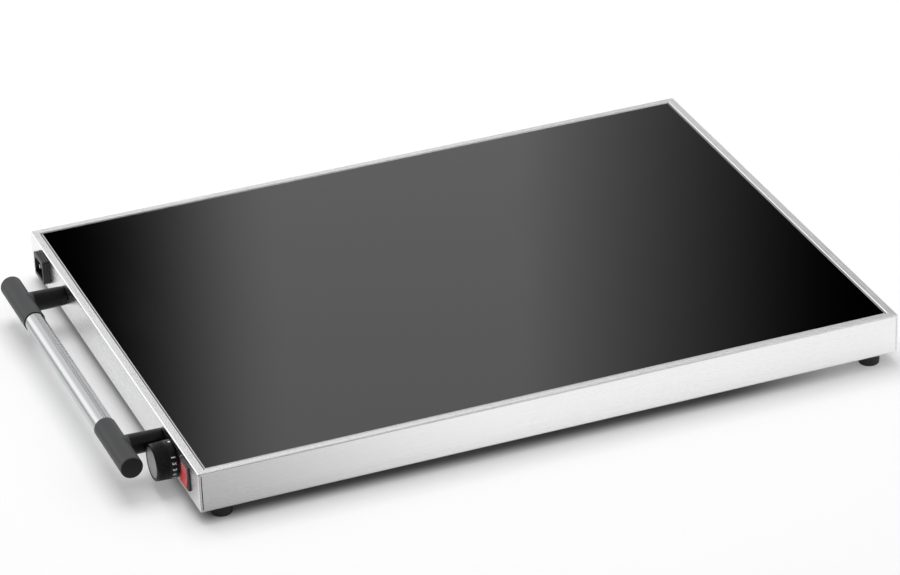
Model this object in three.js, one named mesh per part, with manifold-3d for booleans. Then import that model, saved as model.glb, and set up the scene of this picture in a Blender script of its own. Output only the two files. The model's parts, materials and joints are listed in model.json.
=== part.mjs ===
// Electric food warmer tray with a glass-ceramic top.
// Millimetres, +Z up. The origin is on the table, under the middle of the whole part.
// The carrying bar, the knob, the switch and the power inlet are on the -X end panel.

import * as THREE from 'three';
import { mergeVertices } from 'three/addons/utils/BufferGeometryUtils.js';
import Module from 'manifold-3d';

const wasm = await Module();
wasm.setup();

// Housing, folded from one sheet of stainless steel
const houseLength = 680;
const houseDepth = 510;
const houseHeight = 39;
const sheet = 1;
const topBend = 1.5;
const footBend = 2;
const panelCorner = 2.4;
const windowCorner = 0.8;
const flangeWidth = 8.2;
const lipBend = 1.2;
const lipDepth = 4.6;
const returnWidth = 26;

// Clearances
const seat = 0.1;
const turnedSeat = 0.3;
const fitGap = 0.3;
const runningGap = 0.15;
const overrun = 1;

// Glass-ceramic plate, set nearly flush in the frame, and the seal in the joint round it
const glassThickness = 4;
const glassRecess = 0.6;
const glassFacet = 0.9;
const glassEdge = 0.4;
const glassCorner = 1.2;
const sealWidth = 0.7;
const sealRecess = 0.7;

// Rails that hold the glass up against the flange
const railSheet = 1.2;
const railShelf = 12.5;
const railDrop = 11;
const railEndGap = 42;
const railBend = 1.6;
const railHole = 2.2;
const railHolePitch = 150;
const railHoleShare = 0.62;
const sideRailLength = 230;

// Heated pack under the glass
const bayWidth = 70;
const packMargin = 17;
const packCorner = 8;
const spreaderThickness = 1.5;
const elementRadius = 3.25;
const elementLegCount = 6;
const elementSideMargin = 40;
const elementEndMargin = 24;
const elementTail = 12;
const clampSheet = 1.2;
const clampWidth = 14;
const clampSideMargin = 12;
const clampPlaceShares = [0.22, 0.5, 0.78];
const matThickness = 9;
const matGap = 2;
const matCorner = 6;
const traySheet = 0.8;
const trayRim = 9;
const trayNotchGap = 1.2;

// Base plate, its vents, feet and screws
const baseSheet = 0.8;
const baseInset = 3;
const baseCorner = 3;
const ventLength = 34;
const ventWidth = 4;
const ventPitch = 11;
const ventColumns = 2;
const ventColumnPitch = 250;
const ventRows = 7;
const beadDepth = 2.4;
const beadWidth = 16;
const beadLength = 330;
const beadPlaceShares = [-0.27, 0.27];
const beadRoot = 0.2;
const footRadius = 10.2;
const footWaist = 9.6;
const footHeight = 10.4;
const footEdge = 1;
const footInsetX = 23.5;
const footInsetY = 14;
const footBore = 2.3;
const footCounterbore = 4.6;
const footCounterboreDepth = 4;
const baseScrewInset = 14;
const screwRadius = 2;
const screwHead = 3.8;
const screwHeadHeight = 2;
const screwGrip = 6;
const screwCrownShare = 0.62;
const screwRimShare = 0.45;
const screwPointShare = 0.4;

// Leaf springs that press the heated pack up to the glass
const springSheet = 0.8;
const springWidth = 16;
const springCrown = 30;
const springFoot = 14;
const springRun = 22;
const springPlaceShares = [-0.3, 0.3];

// Carrying bar
const barOut = 41.5;
const barFromFront = 250;
const barFromTop = 15.5;
const barLength = 376;
const sleeveRadius = 10.5;
const sleeveLength = 79;
const sleeveEdge = 1.2;
const tubeRadius = 9.6;
const tubeWall = 1.5;
const tubeInsert = 30;
const postPitch = 296;
const postRadius = 10;
const postFootRadius = 9.2;
const handleScrewRadius = 2.5;
const handleScrewHead = 4.5;
const handleScrewHeadHeight = 3;
const handleScrewGrip = 16;

// Knob and thermostat
const knobFromFront = 73;
const knobFromTop = 21.4;
const knobRadius = 17.7;
const knobFrontRadius = 17.1;
const knobLift = 1;
const knobDepth = 19.3;
const collarDepth = 6.4;
const ribCount = 42;
const ribDepth = 0.6;
const ribSink = 0.1;
const ribShares = [[0, 0], [0.5, 0], [0.76, 1]];
const knobRim = 1.3;
const knobDish = 14.3;
const knobDishDepth = 1.5;
const knobCapThickness = 1.1;
const knobWall = 2.2;
const knobHollowDepth = 14.5;
const hubRadius = 5.6;
const hubRecess = 1.4;
const shaftRadius = 3;
const shaftFlat = 2;
const shaftInside = 10;
const shaftOutside = 13;
const thermostatWidth = 34;
const thermostatHeight = 28;
const thermostatDepth = 24;
const thermostatEdge = 1.5;
const bushRadius = 5;
const bushHole = 5.4;
const bladeWidth = 6.3;
const bladeThickness = 0.8;
const bladeLength = 8;
const bladeChamfer = 1.4;
const thermostatBladePitch = 16;
const thermostatBladeRise = 5;
const plateScrewPitch = 22;
const plateScrewRadius = 1.5;
const plateScrewHead = 2.9;
const plateScrewHeadHeight = 1.8;
const plateScrewGrip = 6;
const bulbRadius = 3;
const bulbTipShare = 0.5;
const bulbLength = 80;
const bulbStart = 22;
const capillaryRadius = 1;
const capillaryDrop = 9;
const clipSheet = 0.8;
const clipWidth = 10;
const clipEar = 9;
const cutoutRadius = 8;
const cutoutDepth = 7;
const cutoutFromFront = 40;
const cutoutBladePitch = 11;

// Rocker switch
const switchFromFront = 35.6;
const switchFromTop = 18.4;
const bezelWidth = 21;
const bezelHeight = 24;
const bezelProud = 2;
const bezelEdge = 0.6;
const bezelCorner = 2;
const rockerHalfLength = 10.2;
const rockerWidth = 16.6;
const rockerRise = 3.5;
const rockerBase = 2.3;
const rockerDrop = 1.5;
const rockerTilt = 6;
const rockerUnderAngle = 10;
const rockerPinRadius = 1.5;
const rockerPinLength = 0.7;
const switchWall = 1.2;
const switchWellDepth = 9;
const switchBodyDepth = 21;
const switchBladePitchX = 12;
const switchBladePitchY = 12;

// Power inlet
const inletFromFront = 462;
const inletFromTop = 15.9;
const inletLength = 28.6;
const inletHeight = 24.5;
const inletProud = 6.8;
const inletCorner = 1.8;
const inletGroove = 0.8;
const inletGrooveWidth = 1.1;
const inletBodyLength = 26.6;
const inletBodyHeight = 19;
const inletBodyDepth = 14;
const socketLength = 24.2;
const socketHeight = 16.6;
const socketChamfer = 4.6;
const socketDepth = 15;
const contactWidth = 2;
const contactHeight = 4;
const contactPitch = 14;
const contactOffset = 2;
const contactReach = 12.4;
const contactTail = 9;
const contactTip = 0.6;
const latchLength = 10;
const latchRise = 1;
const latchDepth = 5;

// Wires and the earth stud
const wireRadius = 1.2;
const wireBend = 4;
const laneStart = 9;
const lanePitch = 4;
const wireTurn = 13;
const bendReachShare = 0.45;
const earthFromInlet = 27;
const studRadius = 2;
const studLength = 8;
const nutRadius = 3.8;
const nutHeight = 3;

// Facets, and the gap below which two points are one
const cornerSteps = 3;
const bendSteps = 3;
const edgeSteps = 2;
const screwSteps = 10;
const bulbSteps = 12;
const footSteps = 16;
const roundSteps = 28;
const tubeSteps = 24;
const wireSides = 6;
const nutSides = 6;
const elementSides = 8;
const halfTurnSteps = 6;
const weldGap = 0.001;

// Levels and places worked out from the sizes above
const baseBottom = footHeight + seat;
const houseBottom = baseBottom + baseSheet + seat;
const houseTop = houseBottom + houseHeight;
const handleReach = barOut + sleeveRadius;
const wallX = (handleReach - houseLength) / 2;
const houseX = wallX + houseLength / 2;
const frontY = -houseDepth / 2;
const glassInset = flangeWidth + sealWidth + 2 * seat;
const glassTop = houseTop - glassRecess;
const glassBottom = glassTop - glassThickness;
const spreaderTop = glassBottom - seat;
const spreaderBottom = spreaderTop - spreaderThickness;
const elementZ = spreaderBottom - seat - elementRadius;
const saddleRadius = elementRadius + runningGap;
const clampTop = spreaderBottom - seat;
const clampBottom = elementZ - saddleRadius - clampSheet;
const matTop = clampBottom - seat;
const matBottom = matTop - matThickness;
const trayFloorTop = matBottom - seat;
const trayBottom = trayFloorTop - traySheet;
const packLength = houseLength - bayWidth - packMargin;
const packDepth = houseDepth - 2 * packMargin;
const packX = wallX + bayWidth + packLength / 2;
const packLeft = wallX + bayWidth;
const trayLeft = packLeft + trayRim;
const baseTop = baseBottom + baseSheet;
const floorTop = houseBottom + sheet;
const elementPitch = (packDepth - 2 * elementSideMargin) / (elementLegCount - 1);
const firstLegY = -packDepth / 2 + elementSideMargin;
const elementEndX = trayLeft - elementTail;

// Colours and finishes
function finish(color, roughness, metalness, more = {}) {
  return () => new THREE.MeshStandardMaterial({ color, roughness, metalness, ...more });
}
const brushedSteel = finish(0xc9cacb, 0.34, 1);
const plainSteel = finish(0xa9acae, 0.5, 1);
const zincSteel = finish(0xb4b6b2, 0.45, 0.9);
const satinAluminium = finish(0xc4c6c8, 0.38, 1);
const blackGlass = finish(0x0b0b0d, 0.06, 0);
const blackSilicone = finish(0x141414, 0.7, 0);
const heaterSheath = finish(0x5c5a55, 0.6, 0.8);
const whiteMat = finish(0xe4e1d8, 0.95, 0);
const darkPlastic = finish(0x2b2c2e, 0.55, 0);
const blackPlastic = finish(0x131314, 0.4, 0);
const greyDisc = finish(0x9a9a9a, 0.5, 0.2);
const redLens = finish(0xc01a22, 0.25, 0, { transparent: true, opacity: 0.9 });
const nickelBrass = finish(0xc2bfae, 0.35, 1);
const copper = finish(0xb06a3c, 0.4, 1);
const rubber = finish(0x161616, 0.85, 0);
const brownWire = finish(0x5a3420, 0.5, 0);
const blueWire = finish(0x2b4c86, 0.5, 0);
const earthWire = finish(0x8aa02c, 0.5, 0);

// Turns a closed surface into a solid that can be cut and joined
function solidOf(geometry) {
  const bare = new THREE.BufferGeometry();
  bare.setAttribute('position', geometry.getAttribute('position').clone());
  if (geometry.index) bare.setIndex(geometry.index.clone());
  const merged = mergeVertices(bare, weldGap);
  const places = merged.getAttribute('position').array;
  const corners = [];
  let sixVolumes = 0;
  const p = new THREE.Vector3();
  const q = new THREE.Vector3();
  const r = new THREE.Vector3();
  for (let i = 0; i < merged.index.count; i += 3) {
    const [a, b, c] = [0, 1, 2].map((k) => merged.index.getX(i + k));
    if (a === b || b === c || c === a) continue;
    corners.push(a, b, c);
    p.fromArray(places, 3 * a);
    q.fromArray(places, 3 * b);
    r.fromArray(places, 3 * c);
    sixVolumes += p.dot(q.cross(r));
  }
  if (sixVolumes < 0) corners.reverse();
  const vertProperties = new Float32Array(places);
  const triVerts = new Uint32Array(corners);
  return new wasm.Manifold(new wasm.Mesh({ numProp: 3, vertProperties, triVerts }));
}

function geometryOf(solid) {
  const { numProp, vertProperties, triVerts } = solid.getMesh();
  const places = new Float32Array((vertProperties.length / numProp) * 3);
  for (let i = 0; i < places.length / 3; i += 1) {
    places.set(vertProperties.subarray(i * numProp, i * numProp + 3), 3 * i);
  }
  const geometry = new THREE.BufferGeometry();
  geometry.setAttribute('position', new THREE.BufferAttribute(places, 3));
  geometry.setIndex(new THREE.BufferAttribute(new Uint32Array(triVerts), 1));
  const shaded = geometry.toNonIndexed();
  shaded.computeVertexNormals();
  return shaded;
}

function cut(body, ...tools) {
  let solid = solidOf(body);
  for (const tool of tools.flat()) solid = solid.subtract(solidOf(tool));
  return geometryOf(solid);
}

function join(...bodies) {
  let solid = solidOf(bodies[0]);
  for (const body of bodies.slice(1).flat()) solid = solid.add(solidOf(body));
  return geometryOf(solid);
}

const whole = (geometry) => geometryOf(solidOf(geometry));

// A surface through rings of points: a loop of rings closes on itself, a row gets two ends
function skin(rings, loop = false) {
  const count = rings[0].length;
  const places = rings.flat().flatMap((v) => [v.x, v.y, v.z]);
  const faces = [];
  const spans = loop ? rings.length : rings.length - 1;
  for (let i = 0; i < spans; i += 1) {
    const low = i * count;
    const high = ((i + 1) % rings.length) * count;
    for (let j = 0; j < count; j += 1) {
      const k = (j + 1) % count;
      faces.push(low + j, low + k, high + k, low + j, high + k, high + j);
    }
  }
  if (!loop) {
    for (const [ring, turned] of [[0, true], [rings.length - 1, false]]) {
      const middle = new THREE.Vector3();
      for (const v of rings[ring]) middle.addScaledVector(v, 1 / count);
      const hub = places.length / 3;
      places.push(middle.x, middle.y, middle.z);
      for (let j = 0; j < count; j += 1) {
        const a = ring * count + j;
        const b = ring * count + ((j + 1) % count);
        faces.push(hub, turned ? b : a, turned ? a : b);
      }
    }
  }
  const geometry = new THREE.BufferGeometry();
  geometry.setAttribute('position', new THREE.Float32BufferAttribute(places, 3));
  geometry.setIndex(faces);
  return geometry;
}

// A rectangle with rounded corners, drawn in by an inset
function roundedRing(length, depth, radius, inset, z, least = windowCorner) {
  const corner = Math.max(radius - inset, least);
  const halfX = length / 2 - inset - corner;
  const halfY = depth / 2 - inset - corner;
  const ring = [];
  for (const [signX, signY, start] of [[1, 1, 0], [-1, 1, 1], [-1, -1, 2], [1, -1, 3]]) {
    for (let k = 0; k <= cornerSteps; k += 1) {
      const angle = ((start + k / cornerSteps) * Math.PI) / 2;
      const x = signX * halfX + corner * Math.cos(angle);
      const y = signY * halfY + corner * Math.sin(angle);
      ring.push(new THREE.Vector3(x, y, z));
    }
  }
  return ring;
}

// A folded frame or a flat slab: its section runs round a rounded rectangle
function framed(length, depth, radius, section, loop, least) {
  const rings = section.map(([inset, z]) => roundedRing(length, depth, radius, inset, z, least));
  return skin(rings, loop);
}

// Points of a quarter bend in a section, from one angle to another in quarter turns
function bend(x, y, radius, fromQuarter, toQuarter, steps = bendSteps) {
  const points = [];
  for (let k = 0; k <= steps; k += 1) {
    const angle = ((fromQuarter + ((toQuarter - fromQuarter) * k) / steps) * Math.PI) / 2;
    points.push([x + radius * Math.cos(angle), y + radius * Math.sin(angle)]);
  }
  return points;
}

// A block between two corners
function block(x0, x1, y0, y1, z0, z1) {
  const shape = new THREE.BoxGeometry(x1 - x0, y1 - y0, z1 - z0);
  return shape.translate((x0 + x1) / 2, (y0 + y1) / 2, (z0 + z1) / 2);
}

// A round rod along Z
function rod(radius, z0, z1, x = 0, y = 0, steps = roundSteps) {
  const shape = new THREE.CylinderGeometry(radius, radius, z1 - z0, steps);
  return shape.rotateX(Math.PI / 2).translate(x, y, (z0 + z1) / 2);
}

// A profile of [radius, z] pairs turned round Z
function turned(profile, steps = roundSteps) {
  const points = profile.map(([radius, z]) => new THREE.Vector2(radius, z));
  return new THREE.LatheGeometry(points, steps).rotateX(Math.PI / 2);
}

// An outline pushed straight up Z
function prism(outline, z0, z1) {
  const shape = new THREE.Shape(outline.map(([x, y]) => new THREE.Vector2(x, y)));
  const depth = z1 - z0;
  return new THREE.ExtrudeGeometry(shape, { depth, bevelEnabled: false }).translate(0, 0, z0);
}

// A path that passes its stations at even steps, so straight runs need no points between
class StationPath extends THREE.Curve {
  constructor(stations) {
    super();
    this.stations = stations;
  }

  getPoint(t, target = new THREE.Vector3()) {
    const last = this.stations.length - 1;
    const low = Math.min(Math.floor(t * last), last - 1);
    return target.lerpVectors(this.stations[low], this.stations[low + 1], t * last - low);
  }

  getPointAt(t, target) {
    return this.getPoint(t, target);
  }

  getTangentAt(t, target = new THREE.Vector3()) {
    const last = this.stations.length - 1;
    const here = Math.round(t * last);
    const before = this.stations[Math.max(here - 1, 0)];
    const after = this.stations[Math.min(here + 1, last)];
    return target.subVectors(after, before).normalize();
  }
}

function pipe(stations, radius, sides = wireSides) {
  const section = new THREE.Shape();
  for (let k = 0; k < sides; k += 1) {
    const angle = ((k + 0.5) / sides) * 2 * Math.PI;
    const place = [radius * Math.cos(angle), radius * Math.sin(angle)];
    if (k === 0) section.moveTo(...place);
    else section.lineTo(...place);
  }
  const steps = stations.length - 1;
  const extrudePath = new StationPath(stations);
  return new THREE.ExtrudeGeometry(section, { steps, extrudePath, bevelEnabled: false });
}

// Stations along straight runs whose inner corners are rounded
function softRoute(points, radius = wireBend) {
  const corners = points.map((point) => new THREE.Vector3(...point));
  const stations = [corners[0]];
  for (let i = 1; i < corners.length - 1; i += 1) {
    const [before, corner, after] = [corners[i - 1], corners[i], corners[i + 1]];
    const shortest = Math.min(before.distanceTo(corner), after.distanceTo(corner));
    const reach = Math.min(radius, bendReachShare * shortest);
    const start = corner.clone().add(before.clone().sub(corner).setLength(reach));
    const end = corner.clone().add(after.clone().sub(corner).setLength(reach));
    const turn = new THREE.QuadraticBezierCurve3(start, corner, end);
    stations.push(...turn.getPoints(bendSteps));
  }
  stations.push(corners[corners.length - 1]);
  return stations;
}

// The tree of groups: everything stands in the tray, the end panel faces the user
const tray = new THREE.Group();
const endPanel = new THREE.Group();
const endPanelTurn = new THREE.Matrix4().makeBasis(
  new THREE.Vector3(0, -1, 0),
  new THREE.Vector3(0, 0, 1),
  new THREE.Vector3(-1, 0, 0),
);
endPanel.quaternion.setFromRotationMatrix(endPanelTurn);
endPanel.position.x = wallX;
tray.add(endPanel);

// A place on the end panel, seen from outside: right of the middle, and up from the table
const panelPlace = (fromFront, fromTop) => [-frontY - fromFront, houseTop - fromTop];
const [knobX, knobY] = panelPlace(knobFromFront, knobFromTop);
const [switchX, switchY] = panelPlace(switchFromFront, switchFromTop);
const [inletX, inletY] = panelPlace(inletFromFront, inletFromTop);
const [barX, barY] = panelPlace(barFromFront, barFromTop);
const postPlaces = [barX + postPitch / 2, barX - postPitch / 2];

function piece(name, geometry, material, parent = tray) {
  const mesh = new THREE.Mesh(geometry, material());
  mesh.name = name;
  parent.add(mesh);
  return mesh;
}

function onPanel(geometry) {
  const turn = new THREE.Matrix4().copy(endPanelTurn).setPosition(wallX, 0, 0);
  return geometry.applyMatrix4(turn);
}

// Housing
function footPlaces() {
  const x = houseLength / 2 - footInsetX;
  const y = houseDepth / 2 - footInsetY;
  return {
    front_left: [houseX - x, -y],
    front_right: [houseX + x, -y],
    rear_right: [houseX + x, y],
    rear_left: [houseX - x, y],
  };
}

function baseScrewPlaces() {
  const x = houseLength / 2 - baseScrewInset;
  const y = houseDepth / 2 - baseScrewInset;
  return {
    front: [houseX, -y],
    right: [houseX + x, 0],
    rear: [houseX, y],
    left: [houseX - x, 0],
  };
}

const fixingPlaces = [...Object.values(footPlaces()), ...Object.values(baseScrewPlaces())];

function housingShell() {
  const height = houseHeight;
  const lipEnd = height - lipDepth;
  const section = [
    [flangeWidth, lipEnd],
    ...bend(flangeWidth - lipBend, height - lipBend, lipBend, 0, 1),
    ...bend(topBend, height - topBend, topBend, 1, 2),
    ...bend(footBend, footBend, footBend, 2, 3),
    [returnWidth, 0],
    [returnWidth, sheet],
    ...bend(footBend, footBend, footBend - sheet, 3, 2),
    ...bend(topBend, height - topBend, topBend - sheet, 2, 1),
    ...bend(flangeWidth - lipBend, height - lipBend, lipBend - sheet, 1, 0),
    [flangeWidth - sheet, lipEnd],
  ];
  const folded = framed(houseLength, houseDepth, panelCorner, section, true, windowCorner);
  folded.translate(houseX, 0, houseBottom);
  const through = [-sheet - overrun, overrun];
  const panelHoles = [
    rod(bushHole, ...through, knobX, knobY),
    rod(plateScrewRadius + fitGap, ...through, knobX - plateScrewPitch / 2, knobY, screwSteps),
    rod(plateScrewRadius + fitGap, ...through, knobX + plateScrewPitch / 2, knobY, screwSteps),
    ...postPlaces.map((x) => rod(handleScrewRadius + fitGap, ...through, x, barY, screwSteps)),
    switchBodyBlock(fitGap, ...through),
    inletBodyBlock(fitGap, ...through),
  ].map(onPanel);
  const floorHoles = fixingPlaces.map(([x, y]) => {
    const radius = screwRadius + fitGap;
    return rod(radius, houseBottom - overrun, floorTop + overrun, x, y, screwSteps);
  });
  return cut(folded, panelHoles, floorHoles);
}

// Glass-ceramic plate with a ground facet, and the silicone seal between it and the frame's lip
const glassLength = houseLength - 2 * glassInset;
const glassDepth = houseDepth - 2 * glassInset;

function glassPlate() {
  const section = [
    [glassEdge, glassBottom],
    [0, glassBottom + glassEdge],
    [0, glassTop - glassEdge],
    [glassFacet, glassTop],
  ];
  const plate = framed(glassLength, glassDepth, glassCorner, section, false);
  return whole(plate.translate(houseX, 0, 0));
}

function glassSeal() {
  const low = houseTop - lipDepth;
  const high = glassTop - sealRecess;
  const outer = flangeWidth + seat;
  const inner = outer + sealWidth;
  const section = [[outer, low], [inner, low], [inner, high], [outer, high]];
  const radius = glassCorner + glassInset;
  return whole(framed(houseLength, houseDepth, radius, section, true).translate(houseX, 0, 0));
}

// Angle rail: an upright leg on the wall and a shelf under the glass, drawn along X
function glassRail(length) {
  const inner = railBend - railSheet;
  const outline = [
    [0, -railDrop],
    ...bend(railBend, -railBend, railBend, 2, 1),
    [railShelf, 0],
    [railShelf, -railSheet],
    ...bend(railBend, -railBend, Math.max(inner, 0), 1, 2).slice(inner > 0 ? 0 : -1),
    [railSheet, -railDrop],
  ];
  const bar = prism(outline, -length / 2, length / 2);
  bar.rotateX(Math.PI / 2).rotateZ(Math.PI / 2);
  const holes = [];
  const copies = Math.floor(length / railHolePitch);
  for (let i = 0; i < copies; i += 1) {
    const x = (i - (copies - 1) / 2) * railHolePitch;
    const hole = rod(railHole, -overrun, railSheet + overrun, 0, 0, screwSteps);
    hole.rotateX(-Math.PI / 2).translate(x, 0, -railDrop * railHoleShare);
    holes.push(hole);
  }
  return cut(bar, holes);
}

function glassRails() {
  const level = glassBottom - seat;
  const stand = sheet + turnedSeat;
  const long = houseLength - 2 * railEndGap;
  const short = houseDepth - 2 * railEndGap;
  const sideShift = -frontY - barFromFront;
  const rails = [
    ['glass_rail_front', long, houseX, frontY + stand, 0],
    ['glass_rail_right', short, wallX + houseLength - stand, 0, 1],
    ['glass_rail_rear', long, houseX, -frontY - stand, 2],
    ['glass_rail_left', sideRailLength, wallX + stand, -sideShift, 3],
  ];
  for (const [name, length, x, y, quarter] of rails) {
    const rail = piece(name, glassRail(length), zincSteel);
    rail.position.set(x, y, level);
    rail.rotation.z = (quarter * Math.PI) / 2;
  }
}

// Heat spreader
function heatSpreader() {
  const section = [[0, spreaderBottom], [0, spreaderTop]];
  return whole(framed(packLength, packDepth, packCorner, section, false).translate(packX, 0, 0));
}

// Tubular heating element, bent to and fro under the spreader
function legY(i) {
  return firstLegY + i * elementPitch;
}

function elementStations() {
  const half = elementPitch / 2;
  const right = packX + packLength / 2 - elementEndMargin - half;
  const left = trayLeft + elementEndMargin + half;
  const stations = [new THREE.Vector3(elementEndX, legY(0), elementZ)];
  for (let i = 0; i < elementLegCount - 1; i += 1) {
    const side = i % 2 === 0 ? 1 : -1;
    const x = side > 0 ? right : left;
    for (let k = 0; k <= halfTurnSteps; k += 1) {
      const angle = (k / halfTurnSteps) * Math.PI - Math.PI / 2;
      const turnX = x + side * half * Math.cos(angle);
      const turnY = legY(i) + half + half * Math.sin(angle);
      stations.push(new THREE.Vector3(turnX, turnY, elementZ));
    }
  }
  stations.push(new THREE.Vector3(elementEndX, legY(elementLegCount - 1), elementZ));
  return stations;
}

// Clamp strap with one saddle for each leg of the element
function clampOutline() {
  const end = legY(elementLegCount - 1) + elementPitch / 2 - clampSideMargin;
  const inner = saddleRadius;
  const outer = saddleRadius + clampSheet;
  const upper = [];
  const lower = [];
  for (let i = 0; i < elementLegCount; i += 1) {
    const y = legY(i);
    upper.push([y - inner, clampTop]);
    upper.push(...bend(y, elementZ, inner, 2, 4, halfTurnSteps));
    upper.push([y + inner, clampTop]);
    lower.push([y - outer, clampTop - clampSheet]);
    lower.push(...bend(y, elementZ, outer, 2, 4, halfTurnSteps));
    lower.push([y + outer, clampTop - clampSheet]);
  }
  return [
    [-end, clampTop - clampSheet],
    ...lower,
    [end, clampTop - clampSheet],
    [end, clampTop],
    ...upper.reverse(),
    [-end, clampTop],
  ];
}

function elementClamp() {
  const strap = prism(clampOutline(), -clampWidth / 2, clampWidth / 2);
  return whole(strap.rotateX(Math.PI / 2).rotateZ(Math.PI / 2));
}

// Insulation mat and the tray that carries it
function insulationMat() {
  const inset = trayRim + traySheet + matGap;
  const section = [[inset, matBottom], [inset, matTop]];
  const mat = framed(packLength, packDepth, matCorner + inset, section, false);
  return whole(mat.translate(packX, 0, 0));
}

function heaterTray() {
  const rimTop = spreaderBottom - seat;
  const rimBottom = rimTop - traySheet;
  const wall = trayRim + traySheet;
  const outside = [[trayRim, trayBottom], [trayRim, rimBottom], [0, rimBottom], [0, rimTop]];
  const inside = [[wall, trayFloorTop], [wall, rimTop + overrun]];
  const [outer, hollow] = [outside, inside].map((section) => {
    return framed(packLength, packDepth, packCorner + wall, section, false);
  });
  const pan = cut(outer, hollow);
  pan.translate(packX, 0, 0);
  const notchReach = [packLeft - overrun, trayLeft + traySheet + overrun];
  const notch = (y, radius, z) => {
    const half = radius + trayNotchGap;
    return block(...notchReach, y - half, y + half, z - half, rimTop + overrun);
  };
  const notches = [
    notch(legY(0), elementRadius, elementZ),
    notch(legY(elementLegCount - 1), elementRadius, elementZ),
    notch(bulbY, capillaryRadius, bulbZ),
  ];
  return cut(pan, notches);
}

// Leaf spring: an arched strip between the base plate and the heater tray
function leafSpring() {
  const rise = trayBottom - baseTop - 2 * seat;
  const half = springCrown / 2;
  const foot = half + springRun;
  const end = foot + springFoot;
  const slope = Math.atan2(rise - springSheet, springRun);
  const shift = springSheet * Math.tan(slope / 2);
  const outline = [
    [-end, 0],
    [-foot + shift, 0],
    [-half + shift, rise - springSheet],
    [half - shift, rise - springSheet],
    [foot - shift, 0],
    [end, 0],
    [end, springSheet],
    [foot, springSheet],
    [half, rise],
    [-half, rise],
    [-foot, springSheet],
    [-end, springSheet],
  ];
  const strip = prism(outline, -springWidth / 2, springWidth / 2);
  return whole(strip.rotateX(Math.PI / 2));
}

// Base plate with pressed beads and rows of vents
function slot(length, width, z0, z1) {
  const half = (length - width) / 2;
  const outline = [...bend(half, 0, width / 2, -1, 1), ...bend(-half, 0, width / 2, 1, 3)];
  return prism(outline, z0, z1);
}

function basePlate() {
  const section = [[baseInset, baseBottom], [baseInset, baseTop]];
  const plate = framed(houseLength, houseDepth, baseCorner + baseInset, section, false);
  plate.translate(houseX, 0, 0);
  const beads = beadPlaceShares.map((share) => {
    const bead = slot(beadLength, beadWidth, baseTop - beadRoot, baseTop + beadDepth);
    return bead.translate(packX, share * houseDepth, 0);
  });
  const hollows = beadPlaceShares.map((share) => {
    const [length, width] = [beadLength, beadWidth].map((size) => size - 2 * baseSheet);
    const hollow = slot(length, width, baseBottom - overrun, baseTop + beadDepth - baseSheet);
    return hollow.translate(packX, share * houseDepth, 0);
  });
  const holes = fixingPlaces.map(([x, y]) => {
    return rod(screwRadius + fitGap, baseBottom - overrun, baseTop + overrun, x, y, screwSteps);
  });
  const vents = [];
  for (let i = 0; i < ventRows; i += 1) {
    for (let j = 0; j < ventColumns; j += 1) {
      const vent = slot(ventLength, ventWidth, baseBottom - overrun, baseTop + overrun);
      const x = houseX + (j - (ventColumns - 1) / 2) * ventColumnPitch;
      vents.push(vent.translate(x, (i - (ventRows - 1) / 2) * ventPitch, 0));
    }
  }
  return cut(join(plate, beads), hollows, holes, vents);
}

// Rubber foot with a stepped bore for its screw
function foot() {
  const profile = [
    [footBore, footCounterboreDepth],
    [footCounterbore, footCounterboreDepth],
    [footCounterbore, 0],
    [footWaist - footEdge, 0],
    [footWaist, footEdge],
    [footRadius, footHeight],
    [footBore, footHeight],
    [footBore, footCounterboreDepth],
  ];
  return whole(turned(profile, footSteps));
}

// Pan-head screw: its head's seat is at zero and the shank points up
function screw(radius, head, headHeight, grip) {
  const profile = [
    [0, -headHeight],
    [head * screwCrownShare, -headHeight],
    [head, -headHeight * screwRimShare],
    [head, 0],
    [radius, 0],
    [radius, grip - radius * (1 - screwPointShare)],
    [radius * screwPointShare, grip],
    [0, grip],
  ];
  return whole(turned(profile, screwSteps));
}

// Carrying bar, drawn in the end panel's frame
function handleTube() {
  const half = barLength / 2 - sleeveLength + tubeInsert;
  const inner = tubeRadius - tubeWall;
  const profile = [[inner, -half], [tubeRadius, -half], [tubeRadius, half], [inner, half], [inner, -half]];
  return whole(turned(profile, tubeSteps).rotateY(Math.PI / 2));
}

// Moulded handle end: a closed sleeve on the tube and a tapered post to the panel.
// Its middle is on the post's axis, and the sleeve's open mouth points along side.
function handleEnd(side, postX) {
  const outerEnd = -side * (barLength / 2) + barX - postX;
  const mouth = outerEnd + side * sleeveLength;
  const low = Math.min(outerEnd, mouth);
  const high = Math.max(outerEnd, mouth);
  const closed = [
    [0, low],
    [sleeveRadius - sleeveEdge, low],
    ...bend(sleeveRadius - sleeveEdge, low + sleeveEdge, sleeveEdge, 3, 4, edgeSteps),
    ...bend(sleeveRadius - sleeveEdge, high - sleeveEdge, sleeveEdge, 0, 1, edgeSteps),
    [0, high],
  ];
  const sleeve = turned(closed, tubeSteps).rotateY(Math.PI / 2).translate(0, 0, barOut);
  const boreEnd = mouth - side * (tubeInsert + turnedSeat);
  const boreLow = Math.min(boreEnd, mouth + side * overrun);
  const boreHigh = Math.max(boreEnd, mouth + side * overrun);
  const bore = rod(tubeRadius + runningGap, boreLow, boreHigh, 0, 0, tubeSteps);
  bore.rotateY(Math.PI / 2).translate(0, 0, barOut);
  const post = turned([
    [0, turnedSeat],
    [postFootRadius, turnedSeat],
    [postFootRadius, turnedSeat + sheet],
    [postRadius, barOut],
    [0, barOut],
  ], tubeSteps);
  const screwHole = rod(handleScrewRadius + fitGap, 0, handleScrewGrip + fitGap, 0, 0, screwSteps);
  return cut(join(sleeve, post), bore, screwHole);
}

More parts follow.
